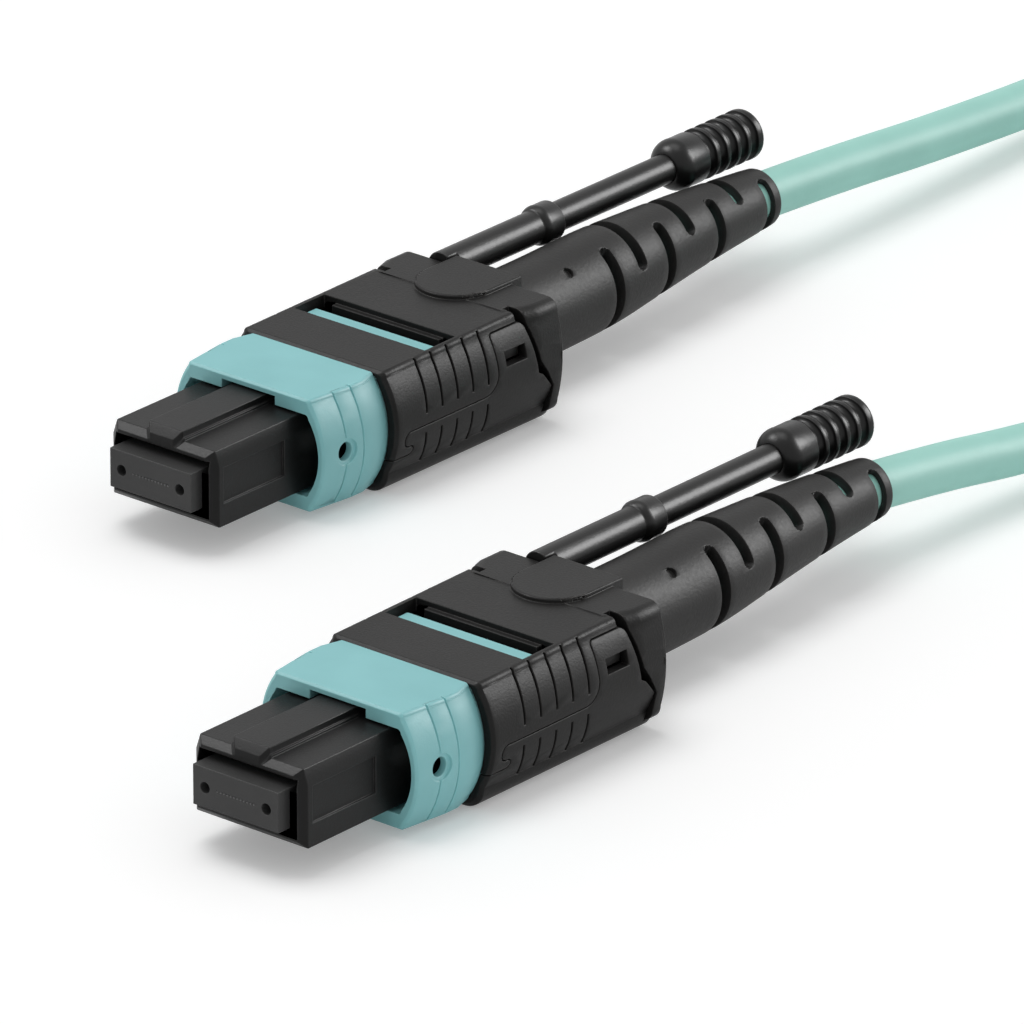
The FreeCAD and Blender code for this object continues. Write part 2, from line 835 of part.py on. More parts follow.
def shell_section(name, x, rise, grow=0):
    return barrel(name, x, d.shell_top + rise * d.shell_rise, d.shell_bottom, d.shell_corner, d.shell_side,
                  d.shell_flat, d.shell_round, d.shell_low_round, grow)


def shell_outside(name, grow=0):
    front = d.shell_start
    return loft(name, [
        shell_section(name + "_front", front, 0.0, grow - d.shell_bevel),
        shell_section(name + "_bevel_end", front + d.shell_bevel, 0.0, grow),
        shell_section(name + "_back", d.shell_end, 1.0, grow),
    ])


def flange_section(name, x, side, corner, grow=0):
    return barrel(name, x, d.shell_top + d.shell_rise, d.flange_foot, corner, side,
                  corner - d.flange_round, d.flange_round, d.flange_round, grow)


def seam_outline(name):
    """Side view of all that belongs to the upper shell."""
    far, above = d.flange_end + OVER, d.shell_top + 2 * OVER
    seam, toe = d.seam_height, d.hook_foot + d.hook_thick
    round_off = 1 - math.sqrt(0.5)
    sweep, bend, nose = d.tongue_sweep, d.tongue_corner, d.tongue_round
    return outline(name, "side", [
        (d.shell_start - OVER, above),
        (d.shell_start - OVER, d.hook_foot),
        (d.hook_back - d.hook_thick / 2, d.hook_foot),
        via(d.hook_back, d.hook_foot + d.hook_thick / 2),
        (d.hook_back - d.hook_thick / 2, toe),
        (d.hook_throat, toe),
        via(d.hook_throat - (seam - toe) / 2, (seam + toe) / 2),
        (d.hook_throat, seam),
        (d.tongue_start - sweep, seam),
        via(d.tongue_start - sweep * round_off, seam + sweep * round_off),
        (d.tongue_start, seam + sweep),
        (d.tongue_start, d.tongue_top - bend),
        via(d.tongue_start + bend * round_off, d.tongue_top - bend * round_off),
        (d.tongue_start + bend, d.tongue_top),
        (d.tongue_end - nose, d.tongue_top),
        via(d.tongue_end - nose * round_off, d.tongue_top - nose * round_off),
        (d.tongue_end, d.tongue_top - nose),
        (d.tongue_waist, d.tongue_waist_height),
        (d.tongue_step, d.tongue_step_height),
        (d.tongue_belly, d.tongue_belly_height),
        (d.tongue_foot, -d.flange_foot),
        (far, -d.flange_foot),
        (far, above),
    ])


def rib(name, x, low, high, lean):
    """Slanted slab through both sides of the shells, seen as a line in side view."""
    path = [(x, high), (x + d.rib_width, high), (x + d.rib_width + lean, low), (x + lean, low)]
    return extrude(name, outline(name + "_outline", "side", path), 4 * d.shell_side)


def shell_flange():
    """Thicker rim at the back of the upper shell."""
    return loft("shell_flange", [
        flange_section("flange_root", d.flange_start, d.shell_side, d.shell_corner),
        flange_section("flange_swell_section", d.flange_swell, d.flange_side, d.flange_corner),
        flange_section("flange_edge", d.flange_end - d.flange_bevel, d.flange_side, d.flange_corner),
        flange_section("flange_back", d.flange_end, d.flange_side, d.flange_corner, -d.flange_bevel),
    ])


def boot_hole(name):
    return rod(name, (d.coupling_end, d.pad_end + OVER), d.boot_width + 2 * d.boot_clearance)


def shell_hollow():
    """All that is empty inside the closed shells."""
    neck_room = loft("shell_neck_room", [
        coupling_neck("neck_room_front", d.shell_start - OVER, d.shell_fit),
        coupling_neck("neck_room_back", d.coupling_end + d.shell_fit, d.shell_fit),
    ])
    room = loft("shell_room", [
        barrel(f"shell_room_{name}", x, d.room_top, d.room_bottom, d.room_corner, d.room_side,
               d.room_flat, d.shell_round, d.shell_low_round)
        for name, x in (("front", d.coupling_end), ("back", d.room_end))])
    return fuse("shell_hollow", neck_room, room, boot_hole("shell_boot_hole"))


def shell_grooves():
    """Finger grooves in the sides of both shells, equally deep all over."""
    def upper_rib(name, number):
        x = d.rib_start + number * d.rib_pitch
        return rib(name, x, d.rib_foot, d.shell_top, d.rib_lean)

    def lower_rib(name, number):
        x = d.rib_start + d.rib_lean + number * d.rib_pitch
        return rib(name, x, d.rib_low_foot, d.rib_low_top, d.rib_low_lean)

    flat_half = d.shell_corner - d.shell_round
    skin = cut("shell_skin", shell_outside("skin_outside"), shell_outside("skin_inside", -d.rib_depth),
               block("skin_middle", (d.shell_start - OVER, d.shell_end + OVER), (-flat_half, flat_half),
                     (-d.shell_bottom - OVER, d.shell_top + OVER)))
    ribs = fuse("shell_ribs", pieces_along("upper_rib", SIZES["rib_count"], upper_rib),
                pieces_along("lower_rib", SIZES["rib_count"], lower_rib))
    return overlap("shell_grooves", skin, ribs)


def tongue_gap_wedges():
    """Open joint behind the tongue, on both sides of the upper shell."""
    gap = d.tongue_gap
    wedge = extrude("tongue_gap_wedge", outline("tongue_gap_outline", "side", [
        (d.tongue_end - d.tongue_round, d.tongue_top),
        (d.tongue_end - d.tongue_round, d.shell_top + OVER),
        (d.tongue_end - gap, d.shell_top + OVER),
        (d.tongue_end + gap, d.tongue_top - d.tongue_round),
        (d.tongue_waist + gap, d.tongue_waist_height + 3 * gap),
        (d.tongue_step + 2 * gap, d.tongue_step_height),
        (d.tongue_belly, d.tongue_belly_height),
        (d.tongue_step, d.tongue_step_height),
        (d.tongue_waist - gap, d.tongue_waist_height),
        (d.tongue_end - gap, d.tongue_top - d.tongue_round),
    ]), 4 * d.flange_side)
    side = block("tongue_gap_side", (d.tongue_start, d.flange_end),
                 (d.shell_corner - d.tongue_gap_depth, d.flange_side + OVER),
                 (-d.flange_foot, d.shell_top + 2 * OVER))
    return overlap("tongue_gap_wedges", wedge, both_sides("tongue_gap_sides", side))


def shell_catches():
    """Legs of the upper shell whose noses snap into the tongue windows."""
    x = (d.tongue_window_start + d.catch_gap, d.tongue_window_start + d.tongue_window_length - d.catch_gap)
    low = d.tongue_window_bottom + d.catch_gap
    high = d.tongue_window_bottom + d.tongue_window_height - d.catch_gap
    leg_end = d.catch_leg_start + d.catch_leg
    leg = block("catch_leg", x, (d.catch_leg_start, leg_end), (low, d.room_top + d.catch_gap))
    nose = block("catch_nose", x, (d.catch_leg_start, leg_end + d.catch_proud), (low, high))
    return both_sides("shell_catches", fuse("shell_catch", leg, nose))


def round_pad():
    """Thumb pad that stands out behind the rim: round in front, with a straight rear edge."""
    sketch = outline("pad_outline", "top", [
        (d.pad_end, d.pad_radius), (d.pad_middle, d.pad_radius), via(d.pad_middle - d.pad_radius, 0),
        (d.pad_middle, -d.pad_radius), (d.pad_end, -d.pad_radius)])
    bind(sketch, Placement__Base__z=(d.pad_top + d.pad_foot) / 2)
    pad = extrude("pad", sketch, d.pad_top - d.pad_foot)
    rounded = fillet("round_pad", pad, "pad_round", lambda edge: on_plane(edge, "z", SIZES["pad_top"]))
    return cut("pad_over_boot", rounded, boot_hole("pad_boot_hole"))


def make_shells():
    """Upper and lower shell of the tab, split along the seam."""
    outside = shell_outside("shell_outside")
    hollow, grooves = shell_hollow(), shell_grooves()
    seam = seam_outline("seam")
    above = extrude("above_seam", seam, 4 * d.flange_side)
    wide_seam = doc.addObject("Part::Offset2D", "seam_with_gap")
    wide_seam.Source = seam
    wide_seam.Join = "Intersection"
    bind(wide_seam, Value=d.seam_gap)
    above_wide = extrude("above_seam_with_gap", wide_seam, 4 * d.flange_side)

    window = block("shell_window", (d.window_start, d.window_end), (-d.window_half, d.window_half),
                   (d.room_top - OVER, d.shell_top + OVER))
    sill_top = d.shell_top - d.sill_drop
    sill = block("shell_sill", (d.window_end - d.sill_depth, d.window_end + d.sill_depth),
                 (-d.sill_half, d.sill_half), (sill_top - d.sill_thick, sill_top))
    upper_skin = overlap("upper_outside", fuse("shell_body", outside, shell_flange()), above)
    upper_half = cut("upper_half", upper_skin, hollow, window, grooves, tongue_gap_wedges())
    upper_solid = fuse("upper_solid", upper_half, sill, shell_catches())
    upper = cut("tab_upper_shell", fuse("upper_with_pad", upper_solid, round_pad()),
                rod_tenon("rod_socket", d.root_gap))

    tongue_window = block("tongue_window",
                          (d.tongue_window_start, d.tongue_window_start + d.tongue_window_length),
                          (d.catch_leg_start + d.catch_leg, d.flange_side + OVER),
                          (d.tongue_window_bottom, d.tongue_window_bottom + d.tongue_window_height))
    nub_z = (-d.coupling_neck_top - d.shell_fit - d.nub_gap, -d.coupling_neck_top + d.nub_height - d.nub_gap)
    nub = block("shell_nub", (d.nub_start, d.nub_start + d.nub_length), (-d.nub_half, d.nub_half), nub_z)
    lower_half = cut("lower_half", outside, above_wide, hollow, grooves,
                     both_sides("tongue_windows", tongue_window))
    return upper, fuse("tab_lower_shell", lower_half, nub)


def on_plane(edge, axis, place):
    """Whether a whole edge lies at one place along an axis."""
    box = edge.BoundBox
    low, high = {"x": (box.XMin, box.XMax), "y": (box.YMin, box.YMax), "z": (box.ZMin, box.ZMax)}[axis]
    return abs(low - place) < 1e-3 and abs(high - place) < 1e-3


def fillet(name, base, radius, chosen):
    """Round the edges of a piece for which chosen is true, by the named size."""
    doc.recompute()
    rounded = doc.addObject("Part::Fillet", name)
    rounded.Base = base
    size = SIZES[radius]
    rounded.Edges = [(number, size, size)
                     for number, edge in enumerate(base.Shape.Edges, start=1) if chosen(edge)]
    return rounded


def rod_tenon(name, grow=0):
    """Tenon of the pull rod in the back of the upper shell."""
    half = d.tenon_width / 2 + grow
    return block(name, (d.flange_end - d.tenon_length - grow, d.flange_end + OVER),
                 (d.rod_side - half, d.rod_side + half),
                 (d.rod_height - d.tenon_height - grow, d.rod_height + grow))


def set_on_rod(thing):
    """Place a piece drawn along X from the shell's back: above the boot, on its far side."""
    move(thing, d.flange_end, d.rod_side, d.rod_height)
    return thing


def make_pull_rod():
    thick, thin = d.rod_width / 2, d.rod_thin / 2
    bead, rim = d.bead_width / 2, d.bead_rim
    bead_start, bead_end = d.bead_start - d.flange_end, d.bead_end - d.flange_end
    end = d.grip_end - d.flange_end - d.grip_wall
    profile = outline("rod_profile", "top", [
        (-OVER, 0), (-OVER, thick), (bead_start, thick),
        via(bead_start + rim / 2, (thick + bead) / 2 + rim / 10), (bead_start + 2 * rim, bead),
        (bead_end, bead), (bead_end, thin), (end, thin), (end, 0)])
    bar = set_on_rod(revolve("rod_bar", profile))
    side = (d.rod_side - d.rod_width, d.rod_side + d.rod_width)
    height = (d.rod_height - d.rod_width, d.rod_height + d.rod_width)
    front = block("rod_front", (d.flange_end - 2 * OVER, d.flange_end), side, height)
    pad_notch = block("rod_pad_notch", (d.flange_end - OVER, d.pad_end + d.root_gap),
                      (0, d.pad_radius + d.root_gap), (d.pad_foot - d.root_gap, d.rod_height + d.rod_width))
    return fuse("pull_rod", cut("rod_behind_shell", bar, front, pad_notch), rod_tenon("rod_tenon"))


def make_pull_grip():
    radius, hub = d.grip_width / 2, d.rod_thin / 2
    start, end = d.grip_start - d.flange_end, d.grip_end - d.flange_end
    rib_start = d.grip_rib_start - d.flange_end
    pitch = (end - rib_start) / d.grip_ribs
    grooves = []
    for number in range(SIZES["grip_ribs"]):
        middle = rib_start + number * pitch
        grooves += [(middle - d.grip_groove / 2, radius), via(middle, radius - d.grip_groove_depth),
                    (middle + d.grip_groove / 2, radius)]
    round_off = 1 - math.sqrt(0.5)
    profile = outline("grip_profile", "top", [
        (start, 0), (start, hub),
        via(start + d.grip_dome * round_off, radius - (radius - hub) * round_off),
        (start + d.grip_dome, radius), *grooves, (end - d.grip_round, radius),
        via(end - d.grip_round * round_off, radius - d.grip_round * round_off),
        (end, radius - d.grip_round), (end, 0)])
    bore = rod("grip_bore", (start - OVER, end - d.grip_wall + d.grip_gap), d.rod_thin + 2 * d.grip_gap)
    return set_on_rod(cut("pull_grip", revolve("grip_body", profile), bore))


def make_crimp_ring():
    step = d.crimp_start + d.crimp_length
    tail = step + d.crimp_step
    end = tail + d.crimp_tail
    solid = fuse("crimp_solid", rod("crimp_body", (d.crimp_start, step), d.crimp_width),
                 cone("crimp_cone", (step, tail), (d.crimp_width, d.crimp_tail_width)),
                 rod("crimp_tail_tube", (tail, end), d.crimp_tail_width))
    neck_room = rod("crimp_neck_room", (d.crimp_start - OVER, step), d.neck_width + 2 * d.crimp_gap)
    cable_room = rod("crimp_cable_room", (d.crimp_start, end + OVER), d.cable_width + 2 * d.cable_gap)
    return cut("crimp_ring", solid, neck_room, cable_room)


def make_boot():
    wide, thin = d.boot_width / 2, d.boot_end_width / 2
    soft = d.boot_end_round
    round_off = 1 - math.sqrt(0.5)
    profile = outline("boot_profile", "top", [
        (d.boot_start, 0), (d.boot_start, wide), (d.boot_straight, wide),
        (d.boot_end - soft, thin), via(d.boot_end - soft * round_off, thin - soft * round_off),
        (d.boot_end, thin - soft), (d.boot_end, 0)])
    body = revolve("boot_body", profile)
    crimp_room = rod("boot_crimp_room", (d.boot_start - OVER, d.boot_room_end),
                     d.crimp_width + 2 * d.boot_gap)
    cable_room = rod("boot_cable_room", (d.boot_start, d.boot_end + OVER), d.cable_width + 2 * d.cable_gap)

    def side_slot(name, number):
        x = d.side_slot_at + number * d.slot_pitch
        floor = d.side_slot_floor + number * d.side_slot_step
        return block(name, (x - d.slot_width / 2, x + d.slot_width / 2), (floor, wide + OVER), (-wide, wide))

    def upright_slot(name, number):
        x = d.upright_slot_at + number * d.slot_pitch
        floor = d.upright_slot_floor + number * d.upright_slot_step
        return block(name, (x - d.slot_width / 2, x + d.slot_width / 2), (-wide, wide), (floor, wide + OVER))

    side = pieces_along("side_slot", SIZES["side_slots"], side_slot)
    upright = pieces_along("upright_slot", SIZES["upright_slots"], upright_slot)
    dimple = doc.addObject("Part::Cylinder", "boot_dimple")
    bind(dimple, Radius=d.dimple_width / 2, Height=OVER * 2)
    move(dimple, d.dimple_at, d.dimple_side, d.dimple_floor)
    return cut("boot", body, crimp_room, cable_room, both_sides("side_slots_both", side), upright, dimple)


def make_cable_in_boot():
    start = d.crimp_start + d.crimp_length + d.crimp_step
    return rod("cable_in_boot", (start, d.boot_end), d.cable_width)


# The cable between the two connectors

def route_tube(name, points, width):
    """Tube of straight runs joined by tangent arcs, as large as the runs allow."""
    edges, radii = [], []
    here = points[0]
    for before, corner, after in zip(points, points[1:], points[2:]):
        back, on = (before - corner), (after - corner)
        shorter = min(back.Length, on.Length)
        half_turn = (math.pi - back.getAngle(on)) / 2
        radius = 0.45 * shorter / math.tan(half_turn)
        cut_back = 0.45 * shorter
        first = corner + back.normalize() * cut_back
        last = corner + on.normalize() * cut_back
        inward = (first + last) / 2 - corner
        middle = corner + inward.normalize() * (radius / math.cos(half_turn) - radius)
        edges.append(Part.LineSegment(here, first).toShape())
        edges.append(Part.Arc(first, middle, last).toShape())
        radii.append(radius)
        here = last
    edges.append(Part.LineSegment(here, points[-1]).toShape())
    tube = pipe(edges, points[1] - points[0], width)
    length = sum(edge.Length for edge in edges)
    expected = math.pi * width ** 2 / 4 * length
    print(f"{name}: length {length:.1f} mm, least arc radius {min(radii):.1f} mm, "
          f"volume {tube.Volume:.1f} of {expected:.1f} mm3")
    return feature(name + "_tube", tube), length


def end_place(name):
    """Where a connector's frame sits, as formulas."""
    side = 1 if name == "a" else -1
    return (side * d.ends_apart_x / 2 - d.grip_end / 2, side * d.ends_apart_y / 2, d.shell_bottom)


def cable_exit(name):
    x, y, z = (value.number for value in end_place(name))
    return Vector(x + SIZES["boot_end"], y, z)


def lead_points(start, end, stops):
    """Places of a lead between its boot and the coil, from shares of the way and heights."""
    span = end - start
    return [start, *(Vector(start.x + along * span.x, start.y + across * span.y, height)
                     for along, across, height in stops), end]


def coil_spiral():
    """Place on the coil after a number of turns: in along the lower layer, out along the upper one."""
    turns, pitch, mean = SIZES["coil_turns"], SIZES["coil_pitch"], SIZES["coil_mean"]
    outer = mean + pitch * turns / 4

    def place(turn):
        radius = outer - pitch * (turns / 2 - abs(turn - turns / 2))
        climb = min(max((turn - turns / 2) * 2 + 0.5, 0), 1)
        height = SIZES["coil_height"] + pitch * (3 * climb ** 2 - 2 * climb ** 3)
        angle = 2 * math.pi * turn
        return Vector(SIZES["coil_x"] + radius * math.sin(angle),
                      SIZES["coil_y"] + radius * math.cos(angle), height)

    return place, outer


def make_cable():
    width, stub = SIZES["cable_width"], SIZES["coil_end"]
    place, outer = coil_spiral()
    turns = SIZES["coil_turns"]
    points, ways = curve_of(place, 0, turns, round(4 * turns))
    ways[0], ways[-1] = Vector(1, 0, 0), Vector(-1, 0, 0)
    low_end, high_end = points[0] - Vector(stub, 0, 0), points[-1] - Vector(stub, 0, 0)
    edges = [Part.LineSegment(low_end, points[0]).toShape(), *wound_path(points, ways),
             Part.LineSegment(points[-1], high_end).toShape()]
    coil_length = sum(edge.Length for edge in edges)
    gap = self_gap(edges, width, 2 * width)
    print(f"coil: length {coil_length:.1f} mm, least gap to itself {gap:.2f} mm")
    coil = feature("coil_tube", pipe(edges, Vector(1, 0, 0), width))

    exit_a, exit_b = cable_exit("a"), cable_exit("b")
    stops_a = [(0.16, 0, exit_a.z), (0.35, 0.25, 3.4), (0.57, 0.65, 2.6), (0.82, 1, low_end.z)]
    stops_b = [(0.11, 0, exit_b.z), (0.22, 0.08, 3.2), (0.36, 0.18, 2.0), (0.51, 0.38, 1.7),
               (0.65, 0.66, 2.6), (0.775, 0.9, 4.6), (0.895, 1, high_end.z)]
    lead_a, length_a = route_tube("lead_a", lead_points(exit_a, low_end, stops_a), width)
    lead_b, length_b = route_tube("lead_b", lead_points(exit_b, high_end, stops_b), width)
    in_boots = 2 * SIZES["boot_end"]
    print(f"whole cord, face to face: {coil_length + length_a + length_b + in_boots:.0f} mm")
    return lead_a, lead_b, coil


def make_tie():
    """Strap round all turns of the coil on its side towards the connectors."""
    quarter = (d.coil_turns / 2 - 1.0) * d.coil_pitch
    room_half = quarter / 2 + d.cable_width / 2 + d.tie_side_gap
    low = d.coil_height - d.cable_width / 2 - d.tie_gap
    high = d.coil_height + d.coil_pitch + d.cable_width / 2 + d.tie_gap
    middle = d.coil_x - d.coil_mean
    y = (d.coil_y - d.tie_width / 2, d.coil_y + d.tie_width / 2)
    outside = block("tie_outside", (middle - room_half - d.tie_thick, middle + room_half + d.tie_thick), y,
                    (low - d.tie_thick, high + d.tie_thick))
    inside = block("tie_inside", (middle - room_half, middle + room_half),
                   (y[0] - OVER, y[1] + OVER), (low, high))

    def runs_across(edge):
        return edge.BoundBox.YLength > SIZES["tie_width"] - 1e-3

    return cut("tie_strap", fillet("tie_round_outside", outside, "tie_round", runs_across),
               fillet("tie_round_inside", inside, "tie_inner_round", runs_across))


# Assembly

def place_piece(label, source, place=None):
    """One named piece of the object, set where it belongs."""
    piece = doc.addObject("Part::Refine", "piece_" + label)
    piece.Source = source
    piece.Label = label
    if place:
        move(piece, *place)
    return piece


upper_shell, lower_shell = make_shells()
connector = {
    "ferrule": make_ferrule(),
    "ferrule_boot": make_ferrule_boot(),
    "pin_clamp": make_pin_clamp(),
    "ferrule_spring": make_ferrule_spring(),
    "fibre_ribbon": make_fibre_ribbon(),
    "inner_housing": make_inner_housing(),
    "spring_push": make_spring_push(),
    "coupling_spring_left": make_coupling_spring("coupling_spring_left", 1),
    "coupling_spring_right": make_coupling_spring("coupling_spring_right", -1),
    "coupling": make_coupling(),
    "tab_upper_shell": upper_shell,
    "tab_lower_shell": lower_shell,
    "pull_rod": make_pull_rod(),
    "pull_grip": make_pull_grip(),
    "crimp_ring": make_crimp_ring(),
    "boot": make_boot(),
    "cable_in_boot": make_cable_in_boot(),
}
lead_a, lead_b, coil = make_cable()

pieces = [place_piece(f"{end}_{name}", source, end_place(end))
          for end in ("a", "b") for name, source in connector.items()]
pieces += [place_piece("lead_a", lead_a), place_piece("lead_b", lead_b), place_piece("coil", coil),
           place_piece("tie", make_tie())]
doc.recompute()

for thing in doc.Objects:
    if "Invalid" in thing.State or "Error" in thing.State:
        raise RuntimeError(f"{thing.Name} failed: {thing.State}")
for piece in pieces:
    shape = piece.Shape
    if shape.isNull() or not shape.isValid() or len(shape.Solids) != 1:
        raise RuntimeError(f"{piece.Label} is not one valid solid")

os.makedirs("parts", exist_ok=True)
for piece in pieces:
    piece.Shape.exportStep(f"parts/{piece.Label}.step")
print(f"{len(pieces)} pieces written")
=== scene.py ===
import json
import math

import bmesh
import bpy
from mathutils import Matrix, Vector
from mathutils.bvhtree import BVHTree

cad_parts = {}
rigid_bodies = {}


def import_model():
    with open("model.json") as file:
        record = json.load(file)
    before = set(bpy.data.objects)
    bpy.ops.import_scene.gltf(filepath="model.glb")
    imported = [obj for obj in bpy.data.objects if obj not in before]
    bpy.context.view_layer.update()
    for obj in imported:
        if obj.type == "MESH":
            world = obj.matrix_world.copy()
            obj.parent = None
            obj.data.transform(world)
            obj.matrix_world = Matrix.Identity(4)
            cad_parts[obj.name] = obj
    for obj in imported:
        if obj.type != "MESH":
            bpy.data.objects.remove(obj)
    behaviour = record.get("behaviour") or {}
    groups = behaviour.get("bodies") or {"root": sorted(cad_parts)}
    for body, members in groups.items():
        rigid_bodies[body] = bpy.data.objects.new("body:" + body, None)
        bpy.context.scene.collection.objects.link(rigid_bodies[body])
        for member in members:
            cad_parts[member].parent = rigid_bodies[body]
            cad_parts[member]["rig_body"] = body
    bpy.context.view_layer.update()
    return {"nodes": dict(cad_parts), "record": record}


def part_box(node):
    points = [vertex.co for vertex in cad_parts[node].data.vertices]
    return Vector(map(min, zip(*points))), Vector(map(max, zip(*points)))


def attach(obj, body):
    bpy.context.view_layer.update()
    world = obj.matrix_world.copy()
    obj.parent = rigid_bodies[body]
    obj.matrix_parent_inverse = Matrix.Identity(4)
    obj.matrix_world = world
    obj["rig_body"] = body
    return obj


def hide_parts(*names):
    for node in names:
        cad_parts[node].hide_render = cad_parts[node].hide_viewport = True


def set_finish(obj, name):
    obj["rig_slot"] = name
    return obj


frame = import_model()

# Sizes are in millimetres unless a comment says otherwise, and MM turns them into metres

MM = 0.001

# Camera

# Angles are in degrees, and the distance and the clip range in metres
CAMERA_AZIMUTH, CAMERA_ELEVATION = -139.77, 23.13
CAMERA_DISTANCE = 0.887
CAMERA_TARGET = Vector((-3.31, -1.94, 4.0)) * MM
CAMERA_CLIP = (0.05, 20.0)
CAMERA_SENSOR = 36.0
FOCAL_PIXELS, PICTURE_PIXELS = 15000.0, 1024.0


def towards(azimuth, elevation):
    """Unit vector that points at an azimuth and an elevation in degrees."""
    azimuth, elevation = math.radians(azimuth), math.radians(elevation)
    return Vector((math.cos(elevation) * math.cos(azimuth), math.cos(elevation) * math.sin(azimuth),
                   math.sin(elevation)))


def make_camera():
    data = bpy.data.cameras.new("camera")
    data.sensor_width = CAMERA_SENSOR
    data.lens = FOCAL_PIXELS * CAMERA_SENSOR / PICTURE_PIXELS
    data.clip_start, data.clip_end = CAMERA_CLIP
    camera = bpy.data.objects.new("camera", data)
    bpy.context.collection.objects.link(camera)
    camera.location = CAMERA_TARGET + towards(CAMERA_AZIMUTH, CAMERA_ELEVATION) * CAMERA_DISTANCE
    camera.rotation_euler = (CAMERA_TARGET - camera.location).to_track_quat("-Z", "Y").to_euler()
    bpy.context.scene.camera = camera


# Meshes and pieces

# Corners closer than WELD become one. Faces that turn by less than FLAT join, and edges over SHARP are
# rounded. Edges over SMOOTH are shaded sharp.
WELD = 0.002
FLAT = math.radians(0.2)
SHARP = math.radians(25)
SMOOTH = math.radians(42)
ROUND_STEPS = 2
ROUND_PROFILE = 0.5
LARGE_FACES_LEAD = 100


def join_rings(form, rings):
    """Join each ring of corners to the next by a band of four-sided faces."""
    for ring, after in zip(rings, rings[1:]):
        for number in range(len(ring)):
            following = (number + 1) % len(ring)
            form.faces.new((ring[number], ring[following], after[following], after[number]))


def fill_bar(form, rings):
    """Closed bar through rings of corners."""
    join_rings(form, rings)
    form.faces.new(rings[0][::-1])
    form.faces.new(rings[-1])


def face_outwards(form):
    bmesh.ops.recalc_face_normals(form, faces=form.faces[:])


def mesh_of(form, name):
    mesh = bpy.data.meshes.new(name)
    form.to_mesh(mesh)
    form.free()
    return mesh


def smoothed(mesh):
    """Shade a mesh smooth apart from edges that stay sharp."""
    for polygon in mesh.polygons:
        polygon.use_smooth = True
    mesh.set_sharp_from_angle(angle=SMOOTH)
    return mesh


def round_edges(form, width, angle):
    """Round a form's edges that turn by more than an angle."""
    sharp = [edge for edge in form.edges if edge.is_manifold and edge.calc_face_angle(0) > angle]
    bmesh.ops.bevel(form, geom=sharp, offset=width, segments=ROUND_STEPS, profile=ROUND_PROFILE,
                    affect="EDGES", clamp_overlap=False)


def add_piece(name, mesh, body, slot, *nodes):
    """Put a mesh into the scene as a piece that rides on a body and stands for CAD nodes."""
    piece = bpy.data.objects.new(name, mesh)
    bpy.context.collection.objects.link(piece)
    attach(piece, body)
    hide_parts(*nodes)
    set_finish(piece, slot)
    return piece


def even_shading(piece):
    """Keep large flat faces flat beside their rounded edges."""
    modifier = piece.modifiers.new("even_shading", "WEIGHTED_NORMAL")
    modifier.keep_sharp = True
    modifier.weight = LARGE_FACES_LEAD


# Hard pieces: the CAD solids with rounded edges, each with the width of its rounding

EDGE_ROUND = {
    "ferrule": 0.03,
    "inner_housing": 0.05,
    "coupling": 0.04,
    "tab_upper_shell": 0.05,
    "tab_lower_shell": 0.05,
    "pull_rod": 0.08,
    "pull_grip": 0.04,
}
slots_of = {part["node"]: part["material_slot"] for part in frame["record"]["subparts"]}


def make_rounded_copy(node, width):
    """Copy of a CAD solid with rounded edges; corners that a rounding throws out come back."""
    source = frame["nodes"][node]
    name = node + "_rounded"
    form = bmesh.new()
    form.from_mesh(source.data)
    bmesh.ops.remove_doubles(form, verts=form.verts[:], dist=WELD * MM)
    bmesh.ops.dissolve_limit(form, angle_limit=FLAT, verts=form.verts[:], edges=form.edges[:])
    shape = BVHTree.FromBMesh(form)
    round_edges(form, width * MM, SHARP)
    for corner in form.verts:
        nearest, _, _, distance = shape.find_nearest(corner.co)
        if distance > width * MM:
            corner.co = nearest
    piece = add_piece(name, smoothed(mesh_of(form, name)), source["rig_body"], slots_of[node], node)
    even_shading(piece)
    return piece


# Cable, and the two ends of the cord

CABLE_WIDTH = 3.0
TUBE_STEPS_ROUND, TUBE_STEPS_ALONG = 10, 12
BOOT_END = 57.0
BEND_FROM, BEND_TO, BEND_LIFT = 34.0, 53.0, 0.62


def face_of(ferrule):
    """Middle of a ferrule's front face: where its connector's frame sits."""
    low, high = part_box(ferrule)
    return Vector((low.x, (low.y + high.y) / 2, (low.z + high.z) / 2)) / MM


ENDS = {"a": face_of("a_ferrule"), "b": face_of("b_ferrule")}
EXIT_A, EXIT_B = (place + Vector((BOOT_END, 0, BEND_LIFT)) for place in ENDS.values())


def eased(share):
    """Share from 0 to 1 that starts and ends gently."""
    share = min(max(share, 0.0), 1.0)
    return 3 * share ** 2 - 2 * share ** 3


def lift(x):
    """Height by which the soft boot and the cable in it bend up at x."""
    return BEND_LIFT * eased((x - BEND_FROM) / (BEND_TO - BEND_FROM))


def tube_curve(name, kind, places):
    """Curve through places, as thick as the cable.

    A curve's bounds grow by each point's radius in metres, so the points hold the cable's own radius and
    the bevel, which multiplies it, is 1.
    """
    data = bpy.data.curves.new(name, "CURVE")
    data.dimensions = "3D"
    data.bevel_depth = 1.0
    data.bevel_resolution = TUBE_STEPS_ROUND
    data.resolution_u = TUBE_STEPS_ALONG
    data.use_fill_caps = True
    spline = data.splines.new(kind)
    spline.points.add(len(places) - 1)
    for point, place in zip(spline.points, places):
        point.co = (*(Vector(place) * MM), 1.0)
        point.radius = CABLE_WIDTH / 2 * MM
    return data


# Boots, each in its connector's frame until it is placed

